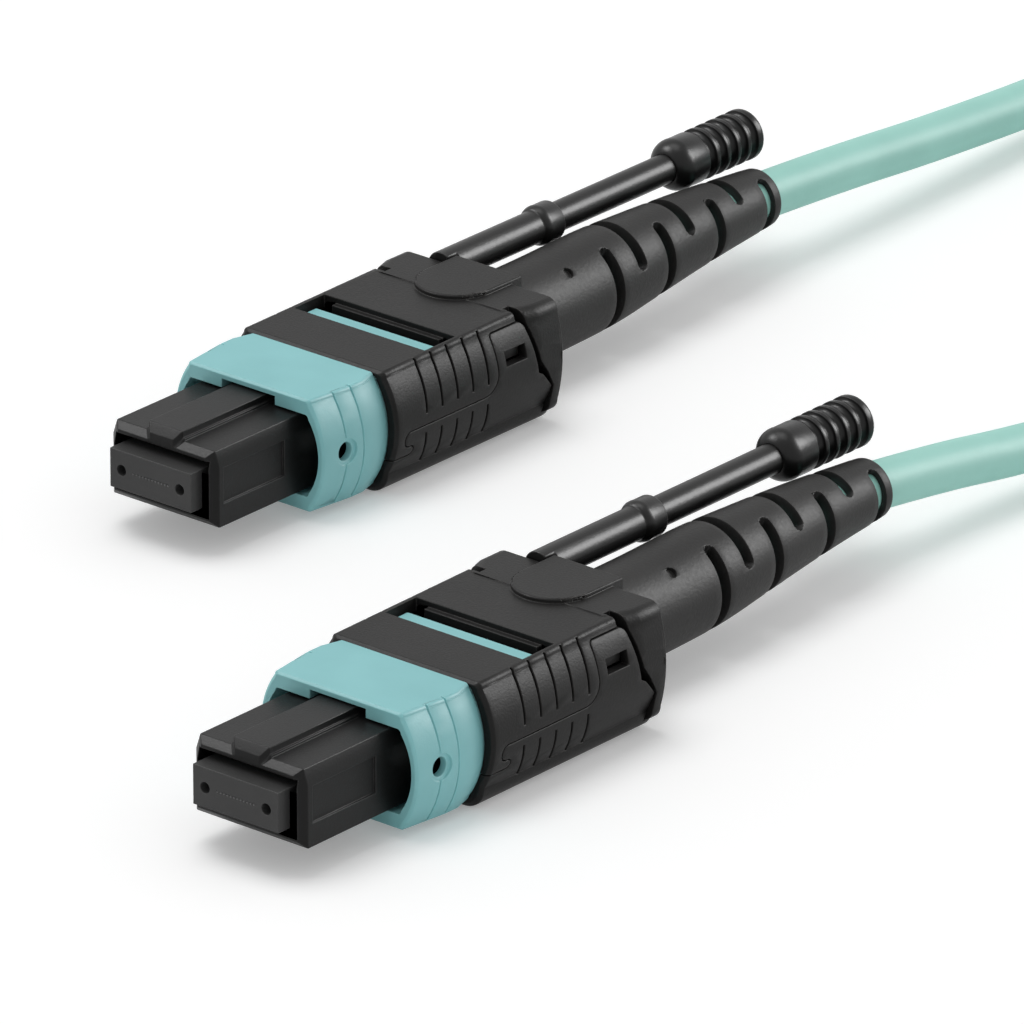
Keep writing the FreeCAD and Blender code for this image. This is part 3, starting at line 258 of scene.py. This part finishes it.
BOOT_START, BOOT_STRAIGHT, BOOT_ROOM_END = 25.0, 41.0, 30.7
BOOT_RADIUS, BOOT_END_RADIUS, BOOT_END_ROUND = 3.15, 1.9, 0.25
BOOT_ROOM_RADIUS, BOOT_BORE = 2.73, 1.53
BOOT_EDGE_ROUND, BOOT_SHARP = 0.05, math.radians(40)
BOOT_STEPS_ROUND, BOOT_STEPS_ALONG, BOOT_END_STEPS = 160, 48, 6
BLEND_LENGTH = 2.0
SLOT_WIDTH, SLOT_PITCH = 0.85, 5.3
# A reach is the angle in degrees that a slot goes round to each side of its middle
SIDE_SLOTS_FROM, SIDE_SLOT_REACHES = 39.9, (61, 62, 63, 63)
UPRIGHT_SLOTS_FROM, UPRIGHT_SLOT_REACHES = 42.35, (75, 65, 57)
SLOT_STEPS, SLOT_END_STEPS, SLOT_TIP = 16, 6, 0.05
SLOT_FLOOR_RADIUS, CUTTER_RADIUS = BOOT_BORE - 0.1, 4.0
DIMPLE_AT, DIMPLE_WIDTH, DIMPLE_DEPTH = 36.3, 0.7, 0.3
DIMPLE_ANGLE = math.radians(-38)
DIMPLE_CUTTER_HEIGHT, DIMPLE_SIDES = 1.0, 24


def boot_radius(x):
    """Outer radius of the boot: a cylinder that blends into a cone."""
    slope = (BOOT_END_RADIUS - BOOT_RADIUS) / (BOOT_END - BOOT_STRAIGHT)
    beyond = x - BOOT_STRAIGHT
    if beyond < -BLEND_LENGTH:
        return BOOT_RADIUS
    if beyond > BLEND_LENGTH:
        return BOOT_RADIUS + slope * beyond
    return BOOT_RADIUS + slope * (beyond + BLEND_LENGTH) ** 2 / (4 * BLEND_LENGTH)


def ring_point(x, radius, angle):
    return Vector((x, radius * math.sin(angle), radius * math.cos(angle)))


def boot_profile():
    """Points of (x, radius) round the boot's wall."""
    length = BOOT_END - BOOT_END_ROUND - BOOT_START
    profile = []
    for step in range(BOOT_STEPS_ALONG):
        x = BOOT_START + length * step / BOOT_STEPS_ALONG
        profile.append((x, boot_radius(x)))
    for step in range(BOOT_END_STEPS + 1):
        bend = math.radians(90 * step / BOOT_END_STEPS)
        profile.append((BOOT_END - BOOT_END_ROUND * (1 - math.sin(bend)),
                        BOOT_END_RADIUS - BOOT_END_ROUND * (1 - math.cos(bend))))
    return profile + [(BOOT_END, BOOT_BORE), (BOOT_ROOM_END, BOOT_BORE),
                      (BOOT_ROOM_END, BOOT_ROOM_RADIUS), (BOOT_START, BOOT_ROOM_RADIUS)]


def boot_body():
    """The boot's wall turned about the X axis, without its slots."""
    form = bmesh.new()
    profile = boot_profile()
    rings = []
    for step in range(BOOT_STEPS_ROUND):
        angle = 2 * math.pi * step / BOOT_STEPS_ROUND
        rings.append([form.verts.new(ring_point(x, radius, angle)) for x, radius in profile])
    join_rings(form, rings + rings[:1])
    face_outwards(form)
    return mesh_of(form, "boot_body")


def add_slot_cutter(form, x, middle, reach):
    """Curved bar with round ends, as wide as a slot, round part of the boot down to the cable."""
    half_width = SLOT_WIDTH / 2
    reach, end = math.radians(reach), half_width / boot_radius(x)
    side = []
    for step in range(SLOT_END_STEPS + 1):
        bend = math.pi / 2 * step / SLOT_END_STEPS
        side.append((end * (1 - math.cos(bend)) - reach, half_width * max(math.sin(bend), SLOT_TIP)))
    for step in range(1, SLOT_STEPS):
        side.append(((end - reach) * (1 - step / SLOT_STEPS), half_width))
    rows = side + [(0.0, half_width)] + [(-angle, half) for angle, half in reversed(side)]
    corners = ((-1, SLOT_FLOOR_RADIUS), (1, SLOT_FLOOR_RADIUS), (1, CUTTER_RADIUS), (-1, CUTTER_RADIUS))
    rings = []
    for angle, half in rows:
        section = [ring_point(x + way * half, radius, middle + angle) for way, radius in corners]
        rings.append([form.verts.new(corner) for corner in section])
    fill_bar(form, rings)


def boot_cutters():
    """Everything that is cut out of the boot: slots at its sides and on top, and a dimple."""
    form = bmesh.new()
    for number, reach in enumerate(SIDE_SLOT_REACHES):
        for middle in (math.pi / 2, -math.pi / 2):
            add_slot_cutter(form, SIDE_SLOTS_FROM + number * SLOT_PITCH, middle, reach)
    for number, reach in enumerate(UPRIGHT_SLOT_REACHES):
        add_slot_cutter(form, UPRIGHT_SLOTS_FROM + number * SLOT_PITCH, 0.0, reach)
    spot = ring_point(DIMPLE_AT, BOOT_RADIUS + DIMPLE_CUTTER_HEIGHT / 2 - DIMPLE_DEPTH, DIMPLE_ANGLE)
    bmesh.ops.create_cone(form, cap_ends=True, segments=DIMPLE_SIDES, radius1=DIMPLE_WIDTH / 2,
                          radius2=DIMPLE_WIDTH / 2, depth=DIMPLE_CUTTER_HEIGHT,
                          matrix=Matrix.Translation(spot) @ Matrix.Rotation(-DIMPLE_ANGLE, 4, "X"))
    face_outwards(form)
    return mesh_of(form, "boot_cutters")


def cut_out(body_mesh, cutter_mesh):
    """Form of a mesh less another; both meshes are used up."""
    body, cutters = (bpy.data.objects.new(mesh.name, mesh) for mesh in (body_mesh, cutter_mesh))
    for thing in (body, cutters):
        bpy.context.collection.objects.link(thing)
    modifier = body.modifiers.new("cut", "BOOLEAN")
    modifier.operation = "DIFFERENCE"
    modifier.solver = "EXACT"
    modifier.object = cutters
    bpy.context.view_layer.update()
    result = body.evaluated_get(bpy.context.evaluated_depsgraph_get())
    form = bmesh.new()
    form.from_mesh(result.to_mesh())
    result.to_mesh_clear()
    for thing in (body, cutters):
        data = thing.data
        bpy.data.objects.remove(thing)
        bpy.data.meshes.remove(data)
    return form


def make_boots():
    form = cut_out(boot_body(), boot_cutters())
    bmesh.ops.remove_doubles(form, verts=form.verts[:], dist=WELD)
    round_edges(form, BOOT_EDGE_ROUND, BOOT_SHARP)
    for corner in form.verts:
        corner.co.z += lift(corner.co.x)
    boots = []
    for end, place in ENDS.items():
        name = end + "_boot_moulded"
        copy = form.copy()
        bmesh.ops.transform(copy, matrix=Matrix.Scale(MM, 4) @ Matrix.Translation(place), verts=copy.verts[:])
        boots.append(add_piece(name, smoothed(mesh_of(copy, name)), "cord", "boot_rubber", end + "_boot"))
        even_shading(boots[-1])
    form.free()
    return boots


# Cable seen through the slots of the boots

CABLE_IN_BOOT_START = 27.8
CABLE_IN_BOOT_STEPS = 24


def make_cable_in_boot(end, place):
    name = end + "_cable_in_boot_run"
    places = []
    for step in range(CABLE_IN_BOOT_STEPS + 1):
        x = CABLE_IN_BOOT_START + (BOOT_END - CABLE_IN_BOOT_START) * step / CABLE_IN_BOOT_STEPS
        places.append(place + Vector((x, 0, lift(x))))
    data = tube_curve(name, "POLY", places)
    run = bpy.data.objects.new(name, data)
    bpy.context.collection.objects.link(run)
    mesh = bpy.data.meshes.new_from_object(run)
    bpy.data.objects.remove(run)
    bpy.data.curves.remove(data)
    mesh.name = name
    return add_piece(name, smoothed(mesh), "cord", "cable_jacket", end + "_cable_in_boot")


# Tie round the coil: hook-and-loop tape, its free end lapped over the outside

TIE_WIDTH, TIE_THICK, TIE_ROUND, TIE_EDGE = 5.0, 0.45, 1.7, 0.12
TIE_LAP, TIE_STEP = 12.0, 0.35
TIE_RISE_STEPS, TIE_CORNER_STEPS = 6, 10
# Each ripple is a height, and the angle in radians that its wave goes through in a step
TIE_RIPPLES = ((0.03, 0.37), (0.02, 0.91))


def tie_loop(low, high):
    """Points and outward directions round the tape's closed loop, from the middle of its top."""
    half_wide, half_high = (high.x - low.x) / 2, (high.z - low.z) / 2
    middle = (low + high) / 2
    top = (middle + Vector((0, 0, half_high)), Vector((0, 0, 1)))
    spots = [top]
    for across, up, start in ((1, 1, 90), (1, -1, 0), (-1, -1, -90), (-1, 1, 180)):
        centre = middle + Vector((across * (half_wide - TIE_ROUND), 0, up * (half_high - TIE_ROUND)))
        for step in range(TIE_CORNER_STEPS + 1):
            angle = math.radians(start - 90 * step / TIE_CORNER_STEPS)
            way = Vector((math.cos(angle), 0, math.sin(angle)))
            spots.append((centre + way * TIE_ROUND, way))
    return spots + [top]


def along_path(spots, step):
    """Points and directions at equal steps along straight pieces between spots."""
    result, spare = [], 0.0
    for (first, first_way), (second, second_way) in zip(spots, spots[1:]):
        length = (second - first).length
        travel = spare
        while travel < length:
            share = travel / length
            result.append((first.lerp(second, share), first_way.lerp(second_way, share).normalized()))
            travel += step
        spare = travel - length
    return result


def tape_section(spot, way):
    """Corners round the tape's section, with its side edges at half the thickness."""
    base = spot - way * TIE_THICK / 2
    side = 0.5 - TIE_EDGE / TIE_WIDTH
    shares = [-side, -0.25, 0.0, 0.25, side]
    outer = [base + Vector((0, share * TIE_WIDTH, 0)) + way * TIE_THICK for share in shares]
    inner = [base + Vector((0, share * TIE_WIDTH, 0)) for share in reversed(shares)]
    left, right = (spot + Vector((0, share * TIE_WIDTH, 0)) for share in (-0.5, 0.5))
    return [left, *outer, right, *inner]


def make_tie():
    low, high = (Vector(corner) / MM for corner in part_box("tie"))
    inset = Vector((TIE_THICK, 0, TIE_THICK))
    loop = along_path(tie_loop(low + inset, high - inset), TIE_STEP)
    strip = [(spot, way, 0.0) for spot, way in loop]
    strip += [(spot, way, TIE_THICK * min(1.0, number / TIE_RISE_STEPS))
              for number, (spot, way) in enumerate(loop[:round(TIE_LAP / TIE_STEP)])]
    form = bmesh.new()
    rings = []
    for number, (spot, way, rise) in enumerate(strip):
        ripple = sum(height * math.sin(number * turn) for height, turn in TIE_RIPPLES)
        section = tape_section(spot + way * (rise + ripple), way)
        rings.append([form.verts.new(corner * MM) for corner in section])
    fill_bar(form, rings)
    face_outwards(form)
    return add_piece("tie_wrap", smoothed(mesh_of(form, "tie_wrap")), "cord", "tie_strap", "tie")


# Cord: lead A, the coil, then lead B back to its boot

COIL_X, COIL_Y, COIL_HEIGHT = 101.75, -5.5, 2.4
COIL_MEAN, COIL_TURNS, COIL_PITCH = 18.0, 6.5, 3.5
COIL_OUTER = COIL_MEAN + COIL_PITCH * COIL_TURNS / 4
COIL_POINTS_A_TURN = 16
LEAD_END_X = 98.75
# A stop is the share of a lead's way to LEAD_END_X, the share of its way across, and its height
STOPS_A = [(0.12, 0, 4.55), (0.32, 0.2, 3.45), (0.57, 0.65, 2.4), (0.82, 1, COIL_HEIGHT)]
STOPS_B = [(0.075, 0, 4.1), (0.15, 0.05, 3.2), (0.27, 0.13, 2.3), (0.45, 0.3, 1.8),
           (0.65, 0.66, 2.6), (0.775, 0.9, 4.6), (0.895, 1, COIL_HEIGHT + COIL_PITCH)]


def lead_points(start, coil_side, stops):
    """Points of a lead from its boot to the side of the coil that it meets."""
    along, across = LEAD_END_X - start.x, COIL_Y + coil_side * COIL_OUTER - start.y
    return [tuple(start)] + [(start.x + share * along, start.y + side * across, height)
                             for share, side, height in stops]


def coil_points():
    """Points of the coil: in along the lower layer, out along the upper one."""
    points = []
    for number in range(round(COIL_TURNS * COIL_POINTS_A_TURN) + 1):
        turn = number / COIL_POINTS_A_TURN
        radius = COIL_OUTER - COIL_PITCH * (COIL_TURNS / 2 - abs(turn - COIL_TURNS / 2))
        height = COIL_HEIGHT + COIL_PITCH * eased((turn - COIL_TURNS / 2) * 2 + 0.5)
        angle = 2 * math.pi * turn
        points.append((COIL_X + radius * math.sin(angle), COIL_Y + radius * math.cos(angle), height))
    return points


def make_cord():
    places = lead_points(EXIT_A, 1, STOPS_A) + coil_points() + lead_points(EXIT_B, -1, STOPS_B)[::-1]
    data = tube_curve("cord", "NURBS", places)
    spline = data.splines[0]
    spline.order_u = 3
    spline.use_endpoint_u = True
    spline.use_smooth = True
    cord = bpy.data.objects.new("cord_run", data)
    bpy.context.collection.objects.link(cord)
    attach(cord, "cord")
    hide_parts("lead_a", "lead_b", "coil")
    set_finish(cord, "cable_jacket")
    return cord


# Materials

# A mix node's colour sockets share their names with its other sockets, so they go by number
MIX_COLOUR_A, MIX_COLOUR_B, MIX_COLOUR_RESULT = 6, 7, 2
RAMP_PLACES = (0.3, 0.7)
EDGE_SAMPLES = 4
EDGE_MATCH = (0.86, 0.99)


class Nodes:
    """Short way to build a node material."""

    def __init__(self, name):
        self.material = bpy.data.materials.new(name)
        self.material.use_nodes = True
        self.tree = self.material.node_tree
        self.tree.nodes.clear()
        self.shader = self.add("ShaderNodeBsdfPrincipled")
        self.output = self.add("ShaderNodeOutputMaterial")
        self.link(self.shader, "BSDF", self.output, "Surface")
        self.place = self.add("ShaderNodeTexCoord")

    def add(self, kind, **values):
        """New node; a value goes to its property of that name, or else to its socket."""
        node = self.tree.nodes.new(kind)
        for key, value in values.items():
            if hasattr(node, key):
                setattr(node, key, value)
            else:
                node.inputs[key].default_value = value
        return node

    def link(self, source, output, target, socket):
        self.tree.links.new(source.outputs[output], target.inputs[socket])

    def noise(self, scale, detail, stretch=(1, 1, 1)):
        mapping = self.add("ShaderNodeMapping", Scale=stretch)
        self.link(self.place, "Object", mapping, "Vector")
        noise = self.add("ShaderNodeTexNoise", Scale=scale, Detail=detail)
        self.link(mapping, "Vector", noise, "Vector")
        return noise

    def ramp(self, source, output, low, high):
        """Colour from low to high."""
        ramp = self.add("ShaderNodeValToRGB")
        for element, colour, place in zip(ramp.color_ramp.elements, (low, high), RAMP_PLACES):
            element.color = (*colour, 1.0)
            element.position = place
        self.link(source, output, ramp, "Fac")
        return ramp

    def span(self, source, output, low, high, inside=(0.0, 1.0)):
        """Value from low to high while the source goes through the range inside."""
        span = self.add("ShaderNodeMapRange")
        span.inputs["From Min"].default_value, span.inputs["From Max"].default_value = inside
        span.inputs["To Min"].default_value, span.inputs["To Max"].default_value = low, high
        self.link(source, output, span, "Value")
        return span

    def product(self, first, first_output, second, second_output):
        times = self.add("ShaderNodeMath", operation="MULTIPLY")
        self.link(first, first_output, times, 0)
        self.link(second, second_output, times, 1)
        return times

    def bump(self, source, output, strength, depth):
        bump = self.add("ShaderNodeBump", Strength=strength, Distance=depth)
        self.link(source, output, bump, "Height")
        self.link(bump, "Normal", self.shader, "Normal")

    def edges(self, width):
        """1 on edges, 0 on flat faces."""
        bevel = self.add("ShaderNodeBevel", samples=EDGE_SAMPLES, Radius=width)
        shape = self.add("ShaderNodeNewGeometry")
        match = self.add("ShaderNodeVectorMath", operation="DOT_PRODUCT")
        self.link(bevel, "Normal", match, 0)
        self.link(shape, "Normal", match, 1)
        return self.span(match, "Value", 1.0, 0.0, EDGE_MATCH)

    def paint_over(self, base, colour, share, output):
        """Mix a plain colour over a base by a share."""
        mix = self.add("ShaderNodeMix", data_type="RGBA")
        self.link(share, output, mix, "Factor")
        self.link(base, "Color", mix, MIX_COLOUR_A)
        mix.inputs[MIX_COLOUR_B].default_value = (*colour, 1.0)
        return mix


# Scales and grain are per metre
DRIFT_SCALE, DRIFT_DETAIL = 180.0, 3.0
# Edges are painted lighter in patches: part wear, part a painted highlight along the edges
WEAR_AND_HIGHLIGHT_WIDTH, WEAR_AND_HIGHLIGHT_SCALE, WEAR_AND_HIGHLIGHT_DETAIL = 0.12, 1500.0, 3.0
WEAR_AND_HIGHLIGHT_SHARES, WEAR_AND_HIGHLIGHT_RANGE = (0.35, 1.0), (0.3, 0.6)
GRAIN_DETAIL, GRAIN_STRENGTH = 4.0, 0.35
METAL_GRAIN, METAL_GRAIN_DETAIL, METAL_GRAIN_STRETCH = 4000.0, 2.0, (0.1, 1, 1)
METAL_STRENGTH, METAL_DEPTH = 0.2, 0.01


def moulded(name, dark, light, rough, grain, depth, wear_and_highlight=None, specular=0.5):
    """Moulded plastic: slow colour drift, edges painted lighter as part wear and part painted highlight, fine
    grain in roughness and surface.
    """
    nodes = Nodes(name)
    colour, output = nodes.ramp(nodes.noise(DRIFT_SCALE, DRIFT_DETAIL), "Fac", dark, light), "Color"
    # Lighter colour painted on edges: part wear, part a painted highlight
    if wear_and_highlight:
        wear_and_highlight_patches = nodes.span(nodes.noise(WEAR_AND_HIGHLIGHT_SCALE, WEAR_AND_HIGHLIGHT_DETAIL), "Fac", *WEAR_AND_HIGHLIGHT_SHARES, WEAR_AND_HIGHLIGHT_RANGE)
        wear_and_highlight_share = nodes.product(nodes.edges(WEAR_AND_HIGHLIGHT_WIDTH * MM), "Result", wear_and_highlight_patches, "Result")
        colour, output = nodes.paint_over(colour, wear_and_highlight, wear_and_highlight_share, "Value"), MIX_COLOUR_RESULT
    nodes.link(colour, output, nodes.shader, "Base Color")
    fine = nodes.noise(grain, GRAIN_DETAIL)
    nodes.link(nodes.span(fine, "Fac", *rough), "Result", nodes.shader, "Roughness")
    nodes.bump(fine, "Fac", GRAIN_STRENGTH, depth * MM)
    nodes.shader.inputs["Specular IOR Level"].default_value = specular
    return nodes.material


def metal(name, colour, rough):
    nodes = Nodes(name)
    grain = nodes.noise(METAL_GRAIN, METAL_GRAIN_DETAIL, METAL_GRAIN_STRETCH)
    nodes.link(nodes.span(grain, "Fac", *rough), "Result", nodes.shader, "Roughness")
    nodes.bump(grain, "Fac", METAL_STRENGTH, METAL_DEPTH * MM)
    nodes.shader.inputs["Base Color"].default_value = (*colour, 1.0)
    nodes.shader.inputs["Metallic"].default_value = 1.0
    return nodes.material


def grey(value, warmth=0.0):
    return (value * (1 + warmth), value, value * (1 - warmth))


# The edge colour of each finish is painted on its edges: part wear, part a painted highlight
MOULDED_FINISHES = {
    "plug_plastic": {"dark": grey(0.004), "light": grey(0.007), "wear_and_highlight": grey(0.05),
                     "rough": (0.34, 0.46), "specular": 0.18, "grain": 9000.0, "depth": 0.03},
    "tab_plastic": {"dark": grey(0.007, 0.03), "light": grey(0.012, 0.03), "wear_and_highlight": grey(0.06, 0.04),
                    "rough": (0.38, 0.52), "specular": 0.16, "grain": 7000.0, "depth": 0.04},
    "rod_plastic": {"dark": grey(0.004, 0.03), "light": grey(0.007, 0.03), "wear_and_highlight": grey(0.03, 0.05),
                    "rough": (0.30, 0.40), "specular": 0.27, "grain": 6000.0, "depth": 0.02},
    "grip_plastic": {"dark": grey(0.003), "light": grey(0.005), "wear_and_highlight": grey(0.02, 0.05),
                     "rough": (0.28, 0.38), "specular": 0.24, "grain": 6000.0, "depth": 0.02},
    "coupling_plastic": {"dark": (0.225, 0.53, 0.55), "light": (0.26, 0.59, 0.61), "wear_and_highlight": (0.36, 0.70, 0.72),
                         "rough": (0.42, 0.56), "specular": 0.4, "grain": 7000.0, "depth": 0.02},
    "ferrule_resin": {"dark": grey(0.022), "light": grey(0.034), "wear_and_highlight": grey(0.05),
                      "rough": (0.45, 0.62), "specular": 0.35, "grain": 16000.0, "depth": 0.01},
    "clamp_plastic": {"dark": grey(0.02), "light": grey(0.03),
                      "rough": (0.45, 0.6), "grain": 8000.0, "depth": 0.02},
    "soft_sleeve": {"dark": grey(0.02), "light": grey(0.03),
                    "rough": (0.6, 0.8), "grain": 6000.0, "depth": 0.02},
    "ribbon_coat": {"dark": grey(0.06), "light": grey(0.12),
                    "rough": (0.25, 0.4), "grain": 8000.0, "depth": 0.01},
    "boot_rubber": {"dark": grey(0.012, 0.03), "light": grey(0.019, 0.03), "wear_and_highlight": grey(0.045, 0.03),
                    "rough": (0.42, 0.56), "specular": 0.22, "grain": 5000.0, "depth": 0.05},
    "cable_jacket": {"dark": (0.33, 0.66, 0.585), "light": (0.37, 0.72, 0.64),
                     "rough": (0.46, 0.6), "specular": 0.4, "grain": 3000.0, "depth": 0.03},
    "tie_strap": {"dark": grey(0.015), "light": grey(0.035),
                  "rough": (0.75, 0.95), "specular": 0.2, "grain": 2600.0, "depth": 0.2},
}
METAL_FINISHES = {
    "spring_wire": {"colour": (0.6, 0.6, 0.6), "rough": (0.2, 0.35)},
    "crimp_metal": {"colour": (0.62, 0.6, 0.56), "rough": (0.25, 0.4)},
}


def dress(piece, material):
    """Put one material in every slot of a piece."""
    if not piece.data.materials:
        piece.data.materials.append(material)
    for slot in piece.material_slots:
        slot.link = "OBJECT"
        slot.material = material


def dress_all(pieces):
    """Give each CAD node and each piece the finish of its material slot."""
    finishes = {name: moulded(name, **look) for name, look in MOULDED_FINISHES.items()}
    finishes |= {name: metal(name, **look) for name, look in METAL_FINISHES.items()}
    for node, finish in slots_of.items():
        dress(frame["nodes"][node], finishes[finish])
    for piece in pieces:
        dress(piece, finishes[piece["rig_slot"]])


# Floor and light: sizes in metres, angles in degrees, power in watts

FLOOR_HALF = 0.8
FLOOR_GREY, FLOOR_GLOW, FLOOR_ROUGHNESS = 0.9, 0.24, 0.9
WORLD_STRENGTH, BACKGROUND_STRENGTH = 0.55, 1.0
WHITE = (1.0, 1.0, 1.0, 1.0)
LIGHT_DISTANCE = 1.0
LIGHTS = {
    "key": {"azimuth": 110.0, "elevation": 78.0, "size": 0.6, "power": 3.7, "in_gloss_only": False},
    "front_gloss": {"azimuth": 123.0, "elevation": 45.0, "size": 0.35, "power": 6.0, "in_gloss_only": True},
    "side_gloss": {"azimuth": -38.0, "elevation": 28.0, "size": 0.5, "power": 14.0, "in_gloss_only": True},
}


def background_rays(tree):
    """1 for rays that see the background: from the camera, or mirrored or bent by the object."""
    path = tree.nodes.new("ShaderNodeLightPath")
    seen = path.outputs["Is Camera Ray"]
    for name in ("Is Glossy Ray", "Is Transmission Ray"):
        largest = tree.nodes.new("ShaderNodeMath")
        largest.operation = "MAXIMUM"
        tree.links.new(seen, largest.inputs[0])
        tree.links.new(path.outputs[name], largest.inputs[1])
        seen = largest.outputs[0]
    return seen


def make_floor():
    data = bpy.data.meshes.new("floor")
    corners = [(x * FLOOR_HALF, y * FLOOR_HALF, 0) for x, y in ((-1, -1), (1, -1), (1, 1), (-1, 1))]
    data.from_pydata(corners, [], [(0, 1, 2, 3)])
    floor = bpy.data.objects.new("floor", data)
    bpy.context.collection.objects.link(floor)
    nodes = Nodes("floor_paint")
    nodes.shader.inputs["Base Color"].default_value = (*grey(FLOOR_GREY), 1.0)
    nodes.shader.inputs["Roughness"].default_value = FLOOR_ROUGHNESS
    nodes.shader.inputs["Specular IOR Level"].default_value = 0.0
    nodes.shader.inputs["Emission Color"].default_value = WHITE
    glow = nodes.add("ShaderNodeMath", operation="MULTIPLY")
    nodes.tree.links.new(background_rays(nodes.tree), glow.inputs[0])
    glow.inputs[1].default_value = FLOOR_GLOW
    nodes.link(glow, "Value", nodes.shader, "Emission Strength")
    data.materials.append(nodes.material)


def make_world():
    world = bpy.data.worlds.new("studio")
    bpy.context.scene.world = world
    world.use_nodes = True
    tree = world.node_tree
    background = tree.nodes["Background"]
    background.inputs["Color"].default_value = WHITE
    strength = tree.nodes.new("ShaderNodeMapRange")
    strength.inputs["To Min"].default_value = WORLD_STRENGTH
    strength.inputs["To Max"].default_value = BACKGROUND_STRENGTH
    tree.links.new(background_rays(tree), strength.inputs["Value"])
    tree.links.new(strength.outputs["Result"], background.inputs["Strength"])


def make_light(name, azimuth, elevation, size, power, in_gloss_only):
    """Square lamp that shines at the origin; in_gloss_only keeps it to reflections."""
    data = bpy.data.lights.new(name, "AREA")
    data.shape = "SQUARE"
    data.size = size
    data.energy = power
    lamp = bpy.data.objects.new(name, data)
    lamp.visible_diffuse = not in_gloss_only
    bpy.context.collection.objects.link(lamp)
    lamp.location = towards(azimuth, elevation) * LIGHT_DISTANCE
    lamp.rotation_euler = (-lamp.location).to_track_quat("-Z", "Y").to_euler()


# The scene

make_camera()
pieces = [make_rounded_copy(f"{end}_{name}", width) for end in ENDS for name, width in EDGE_ROUND.items()]
pieces += make_boots()
pieces += [make_cable_in_boot(end, place) for end, place in ENDS.items()]
pieces += [make_tie(), make_cord()]
dress_all(pieces)
make_floor()
make_world()
for name, values in LIGHTS.items():
    make_light(name, **values)
bpy.context.scene.view_settings.view_transform = "Standard"

bpy.context.view_layer.update()
